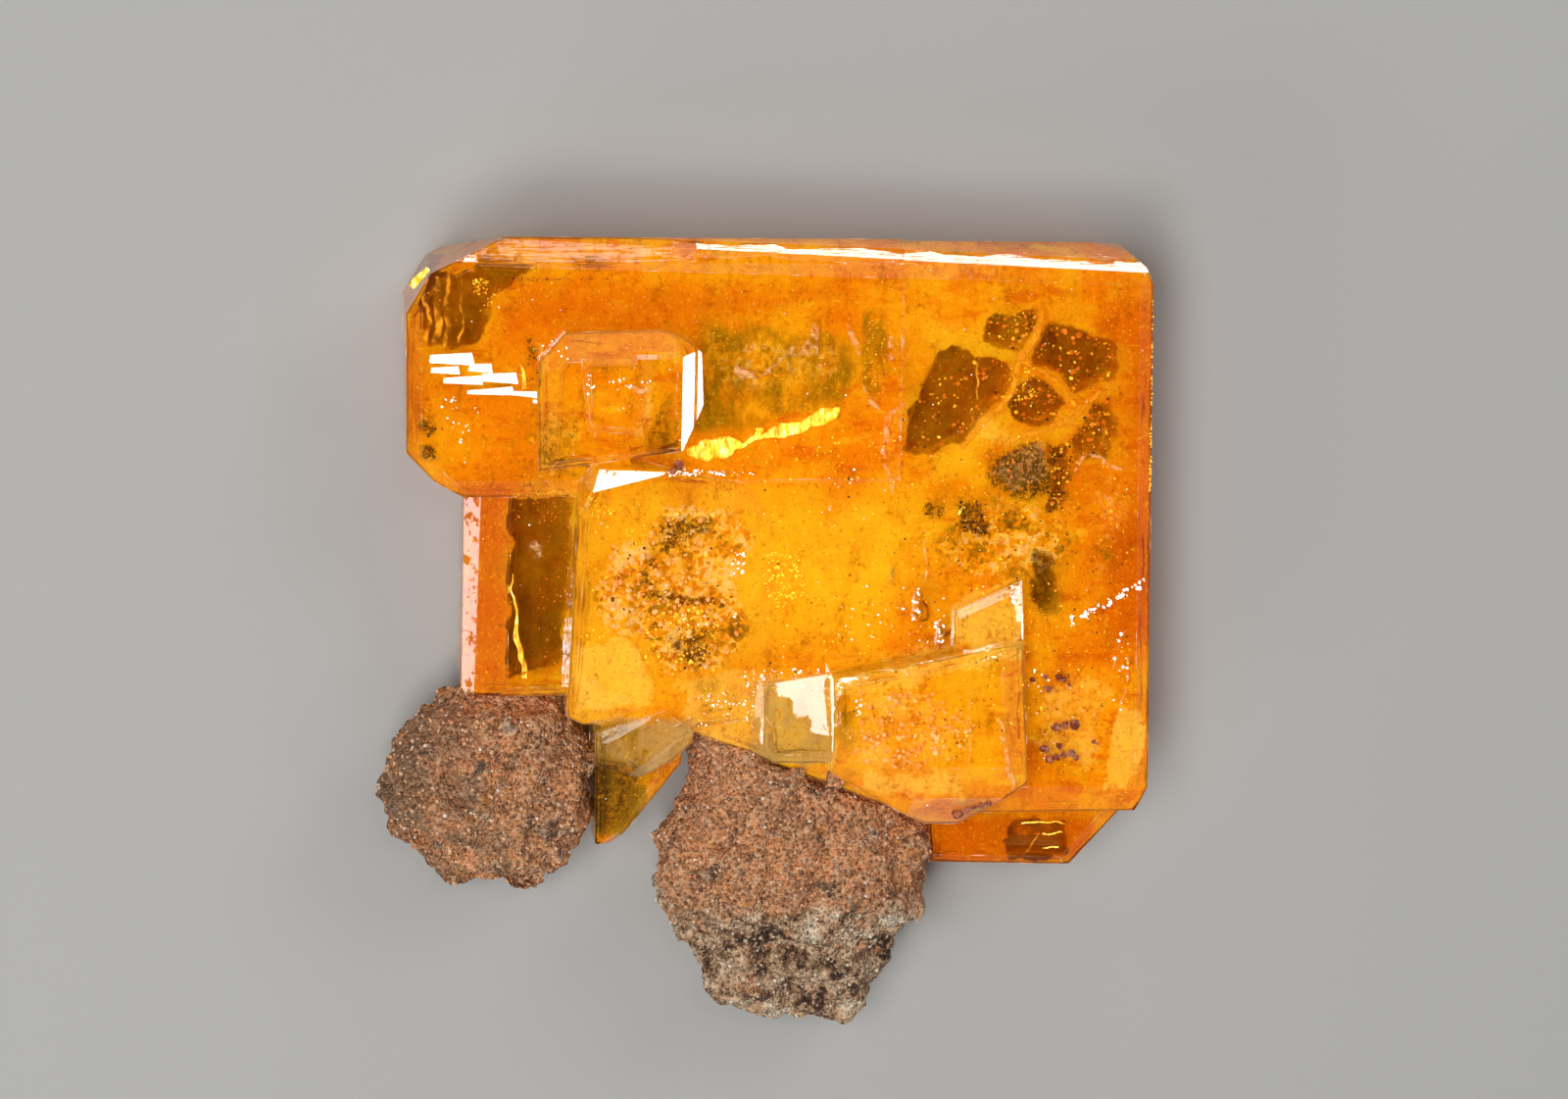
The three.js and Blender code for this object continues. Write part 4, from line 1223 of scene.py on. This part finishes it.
# %% Pale veils
veil_material, tree, shader = new_material("pale_veil")
wisp = mottle(ground(tree), 0.3, 4, 0.6)
dress(
    shader,
    Base_Color=wisp.ramp((0.35, (0.85, 0.4, 0.08)), (0.6, (1.0, 0.7, 0.4))),
    Roughness=0.6,
    Alpha=0.45 * wisp.ease(0.42, 0.66),
    # Painted light: the veils glow faintly.
    Emission_Color=(1.0, 0.6, 0.3),
    Emission_Strength=0.1,
)
VEILS = [
    (0.15, [(12.9, 21.2, 0.1), (13.4, 20.75, 0.3), (14.1, 20.7, 0.25), (14.8, 21.2, 0.12),
        (15.3, 21.7, 0.3)]),
    (0.15, [(15.3, 21.75, 0.4), (16.0, 21.85, 0.5), (16.35, 22.3, 0.35), (16.3, 22.8, 0.1)]),
    (0.15, [(16.3, 21.9, 0.2), (16.25, 21.2, 0.08)]),
    (0.12, [(18.2, 20.3, 0.06), (18.5, 19.75, 0.22), (18.85, 19.3, 0.12)]),
    (0.12, [(20.1, 19.6, 0.1), (19.4, 18.9, 0.3), (19.2, 17.9, 0.3), (19.3, 17.0, 0.2),
        (19.6, 15.9, 0.1)]),
    (0.12, [(26.9, 16.9, 0.06), (27.3, 17.4, 0.14), (27.9, 17.5, 0.14), (28.4, 17.1, 0.2),
        (28.9, 16.9, 0.08)]),
    (0.12, [(19.1, 21.2, 0.1), (19.4, 21.7, 0.3), (19.3, 22.3, 0.1)]),
    (0.1, [(17.6, 22.8, 0.1), (17.9, 22.1, 0.3), (18.0, 21.5, 0.08)]),
    (0.1, [(23.9, 7.1, 0.1), (24.3, 5.6, 0.25), (24.5, 4.5, 0.2), (24.7, 3.9, 0.06)]),
    (0.08, [(22.7, 8.2, 0.03), (22.75, 6.6, 0.07), (22.8, 4.9, 0.04)]),
    (0.08, [(10.62, 21.4, 0.03), (10.7, 19.5, 0.05), (10.8, 17.5, 0.08)]),
    (0.08, [(20.85, 14.4, 0.06), (20.95, 13.3, 0.12), (21.05, 12.2, 0.06)]),
    (0.08, [(29.3, 10.3, 0.03), (29.0, 9.5, 0.06), (28.9, 8.6, 0.05)]),
    (0.08, [(29.45, 9.2, 0.05), (29.4, 7.8, 0.1), (29.2, 7.2, 0.04)]),
    (0.08, [(7.1, 21.0, 0.06), (7.2, 19.5, 0.05), (7.5, 18.3, 0.08)]),
    (0.08, [(8.6, 20.5, 0.1), (9.2, 20.2, 0.2), (9.5, 20.3, 0.12)]),
    (0.1, [(5.1, 13.9, 0.2), (5.2, 13.5, 0.5), (5.3, 13.1, 0.25)]),
]
seams("pale_veils", veil_material, VEILS, thickness=0.05)

# %% [markdown]
# ## Worn edges and painted edge highlights
#
# A crystal edge is never perfectly sharp. It is chipped into a broken line, and that line is bright: real
# wear with a painted highlight that glows a little. The tree finds each outward edge by the angle between
# its faces and runs a hair-thin tube along it. Noise makes the tube thicker and thinner, so the line comes
# and goes. The back rim is left out, because it would lift the specimen off the table.

# %% Edge wear and painted highlights
edge_line_tree, given = begin_tree("wear_and_highlights_along_edges", "Width", "Least Angle", "Step", "Patch Size")
shape = given["Geometry"]
angle = shape.node("GeometryNodeInputMeshEdgeAngle", None, None, 1)
outward = {0: angle, 1: given["Least Angle"]}
outward = shape.node("FunctionNodeCompare", {"operation": "GREATER_THAN"}, outward)
line = shape.node("GeometryNodeMeshToCurve", None, {"Mesh": shape, "Selection": outward})
line = line.node("GeometryNodeResampleCurve", {"mode": "LENGTH"}, {0: line, "Length": given["Step"]})
spot = line.node("GeometryNodeInputPosition")
where = {"Vector": spot, "Scale": 1.0 / given["Patch Size"], "Detail": 3.0}
patchy = line.node("ShaderNodeTexNoise", None, where, "Fac")
thickness = given["Width"] * (0.05 + 1.2 * patchy.ease(0.53, 0.73))
ring = line.node("GeometryNodeCurvePrimitiveCircle", None, {"Resolution": 5, "Radius": 0.5})
end_tree(swept(line, ring, thickness), given["Material"])
print("inputs of the wear tree:", list(given))

# %% Wear and painted highlights on the crystals
edge_source = merged_copy(crystals, "edge_source")
keep_faces(edge_source.data, lambda face: face.normal.z > LOOKS_DOWN)
# The edge lines are pale and glow a little: painted highlight over real chipping.
EDGE_LINES = {
    "Width": 0.036 * MM,
    "Least Angle": math.radians(16),
    "Step": 0.12 * MM,
    "Patch Size": 0.8 * MM,
    "Material": speck_material("edge_wear_and_highlight", (0.95, 0.42, 0.12), (1.0, 0.72, 0.46), 0.12, 0.35),
}
grow(edge_line_tree, edge_source.data, "edge_wear_and_highlights", EDGE_LINES)
bpy.data.objects.remove(edge_source)

# %% [markdown]
# ## The matrix
#
# The rock is fine sand bound by rust. Its solid gives the big form. Here it is wrapped in a finer skin and
# roughened at several sizes: swellings and ridges, hollows between them, and the grain. A ledge crosses the
# left lump.

# %% Rock skin
ROCK_CELL = 0.11  # mm
# How wide each kind of form is and how tall, in mm.
SWELLINGS = (1.5, 0.42)
RIDGES = (2.2, 0.3)
HOLLOWS = (0.6, 0.16)
GRAINS = (0.3, 0.08)
SINK = 0.44  # mm, how far the skin is set back before the forms rise from it
LEDGE_DROP = 0.8  # mm
LEDGE_WIDTH = 0.5  # mm, of the slope below the ledge
LEDGE_START = 2.4  # mm above the crystals' lower edge, at their left side
LEDGE_SLOPE = 0.41  # how fast it falls to the right
LEFT_LUMP_END = 6  # mm from the crystals' left side
rock = {}


def rock_rise(p):
    """How far the rock's skin stands out at a point, in mm."""
    swell = SWELLINGS[1] * noise.fractal(Vector(p) / (SWELLINGS[0] * MM), 0.9, 2.1, 3)
    ridge = RIDGES[1] * noise.ridged_multi_fractal(Vector(p) / (RIDGES[0] * MM), 1.0, 2.0, 3, 1.0, 2.0)
    hollow = HOLLOWS[1] * noise.turbulence(Vector(p) / (HOLLOWS[0] * MM), 3, True)
    grain = GRAINS[1] * noise.voronoi(Vector(p) / (GRAINS[0] * MM))[0][0]
    return swell + ridge + hollow - grain - SINK


def ledge_drop(points):
    """How far the left lump's front is lower beyond the ledge that crosses it, in mm."""
    x, y, _ = on_crystals(points).T
    beyond = np.clip((LEDGE_START - LEDGE_SLOPE * x - y) / LEDGE_WIDTH, 0, 1)
    return np.where(x < LEFT_LUMP_END, LEDGE_DROP * beyond, 0)


for name, node in lumps.items():
    made = wrapped(node, name + "_rock", ROCK_CELL)
    mesh = made.data
    points = vertices_of(mesh)
    rise = np.array([rock_rise(p) for p in points]) * MM
    normals = normals_of(mesh)
    points += normals * rise[:, None]
    points[:, 2] -= ledge_drop(points) * np.clip(normals[:, 2], 0, 1) * MM
    points[:, 2] = np.maximum(points[:, 2], 0)
    set_vertices(mesh, points)
    mesh.shade_smooth()
    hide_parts(name)
    settle(made)
    rock[name] = made

# %% [markdown]
# The rock's colour is built in layers, each over the last: dark, rusty and grey blotches, a pale crust on
# the bleached end, painted shade along crevices, light and dark grains, and painted shade on the far left.

# %% Rock material
ROCK_GRAIN = 0.15  # mm


def bleaching(point):
    """How far the rock is bleached: the lower end of the centre lump."""
    low = (axis(point, "Y") + 6.0 * mottle(point, 1.8, 4) + 2.0 * mottle(point, 0.7, 4, 0.6)).ease(3.2, 1.8)
    return low * axis(point, "X").ease(9.5, 10.5)


rock_material, tree, shader = new_material("rusty_sandstone")
point = ground(tree)
broad = mottle(point, 1.8, 4)
mid = mottle(point, 0.7, 4, 0.6)
fine = mottle(point, 0.25, 4, 0.65, 6)
grain = cells(point, ROCK_GRAIN)
tone = cell_tone(point, ROCK_GRAIN)
crust = mottle(point, 1.3, 5, 0.66, 19).ramp(
    (0.42, (0.07, 0.035, 0.02)),
    (0.47, (0.42, 0.22, 0.11)),
    (0.52, (0.78, 0.52, 0.31)),
    (0.62, (0.97, 0.82, 0.6)),
)
# Painted shade: thin dark lines where crevices would lie in shadow.
shaded_crevice = mottle(point, 2.4, 4, 0.6, 17)
# Painted shade: the far left of the rock darker, as a side turned from the light.
painted_shade_far_left = (0.75 * broad - 0.08 * axis(point, "X")).ease(0.0, 0.45)
stone = layered(
    broad.ease(0.4, 0.6).blend((0.88, 0.37, 0.15), (0.68, 0.31, 0.14)),
    (mottle(point, 1.1, 5, 0.6, 4).ease(0.56, 0.68), (0.2, 0.12, 0.08)),
    (mottle(point, 0.6, 4, 0.6, 8).ease(0.56, 0.66), (0.66, 0.25, 0.06)),
    (mottle(point, 0.9, 4, 0.6, 12).ease(0.6, 0.68) * 0.7, (0.4, 0.36, 0.31)),
    (bleaching(point) * mottle(point, 0.9, 4, 0.6, 15).ease(0.34, 0.46), crust),
    (between(shaded_crevice, 0.48, 0.52, 0.02) * 0.65, (0.1, 0.05, 0.03)),
    (tone.ease(0.55, 1.0) * 0.65, (1.0, 0.66, 0.4)),
    (tone.ease(0.15, 0.0) * 0.7, (0.17, 0.07, 0.035)),
    (painted_shade_far_left * 0.55, (0.2, 0.12, 0.07)),
)
relief = 0.9 * grain.ease(0.6, 0.1) + 3.5 * broad + 1.6 * mid + 1.2 * fine
dress(shader, Base_Color=stone, Roughness=0.9, Normal=bump(relief, 0.18))
for made in rock.values():
    made.data.materials.append(rock_material)
print("rusty_sandstone", len(tree.nodes), "nodes")

# %% [markdown]
# Loose grains stand on that skin. The tree scatters them by area, so many to the square millimetre, and
# keeps a random tone on each, from brown through rust to clear quartz. `Least Height` keeps them off the
# table.

# %% Sand grains
grain_tree, given = begin_tree(
    "grains_on_rock", "Grains per mm2", "Smallest", "Largest", "Least Height", "Seed"
)
per_area = given["Grains per mm2"] * (1 / MM**2)
height = axis(per_area.node("GeometryNodeInputPosition"), "Z")
above = {0: height, 1: given["Least Height"]}
above = height.node("FunctionNodeCompare", {"operation": "GREATER_THAN"}, above)
spread = {"Mesh": given["Geometry"], "Selection": above, "Density": per_area, "Seed": given["Seed"]}
points = given["Geometry"].node("GeometryNodeDistributePointsOnFaces", None, spread)
size = random_value(given["Seed"] + 1, given["Smallest"], given["Largest"])
turn = random_value(given["Seed"] + 2, (0, 0, 0), FULL_TURN)
shape = times(random_value(given["Seed"] + 3, (0.6, 0.5, 0.6), (1, 1, 1)), size)
tone = random_value(given["Seed"] + 4, 0.0, 1.0)
named = {"Geometry": with_shards(points, turn, shape), "Name": "tone", "Value": tone}
on_each = {"data_type": "FLOAT", "domain": "INSTANCE"}
end_tree(points.node("GeometryNodeStoreNamedAttribute", on_each, named), given["Material"])
print("inputs of the grain tree:", list(given))

# %% The grains' colours
grain_material, tree, shader = new_material("sand_grains")
tone = attribute(tree, "tone")
GRAIN_TONES = (
    (0.0, (0.3, 0.13, 0.07)),
    (0.05, (0.6, 0.27, 0.14)),
    (0.3, (0.92, 0.44, 0.2)),
    (0.6, (0.95, 0.55, 0.3)),
    (0.8, (0.85, 0.6, 0.4)),
    (0.9, (0.95, 0.42, 0.1)),
    (0.95, (0.95, 0.85, 0.7)),
    (1.0, (1.0, 0.97, 0.93)),
)
PALE_TONES = (
    (0.0, (0.12, 0.06, 0.04)),
    (0.3, (0.5, 0.33, 0.2)),
    (0.7, (0.82, 0.65, 0.45)),
    (1.0, (1.0, 0.92, 0.8)),
)
grain_colour = bleaching(ground(tree)).blend(tone.ramp(*GRAIN_TONES), tone.ramp(*PALE_TONES))
dress(shader, Base_Color=grain_colour, Roughness=0.85 - 0.6 * tone.ease(0.8, 1.0))
print("sand_grains", len(tree.nodes), "nodes")

# %% Grains on both lumps
GRAIN = {
    "Grains per mm2": 6.0,
    "Smallest": 0.06 * MM,
    "Largest": 0.24 * MM,
    "Least Height": 0.13 * MM,
    "Seed": 21,
    "Material": grain_material,
}
for name, made in rock.items():
    grow(grain_tree, made.data.copy(), name + "_grains", GRAIN)
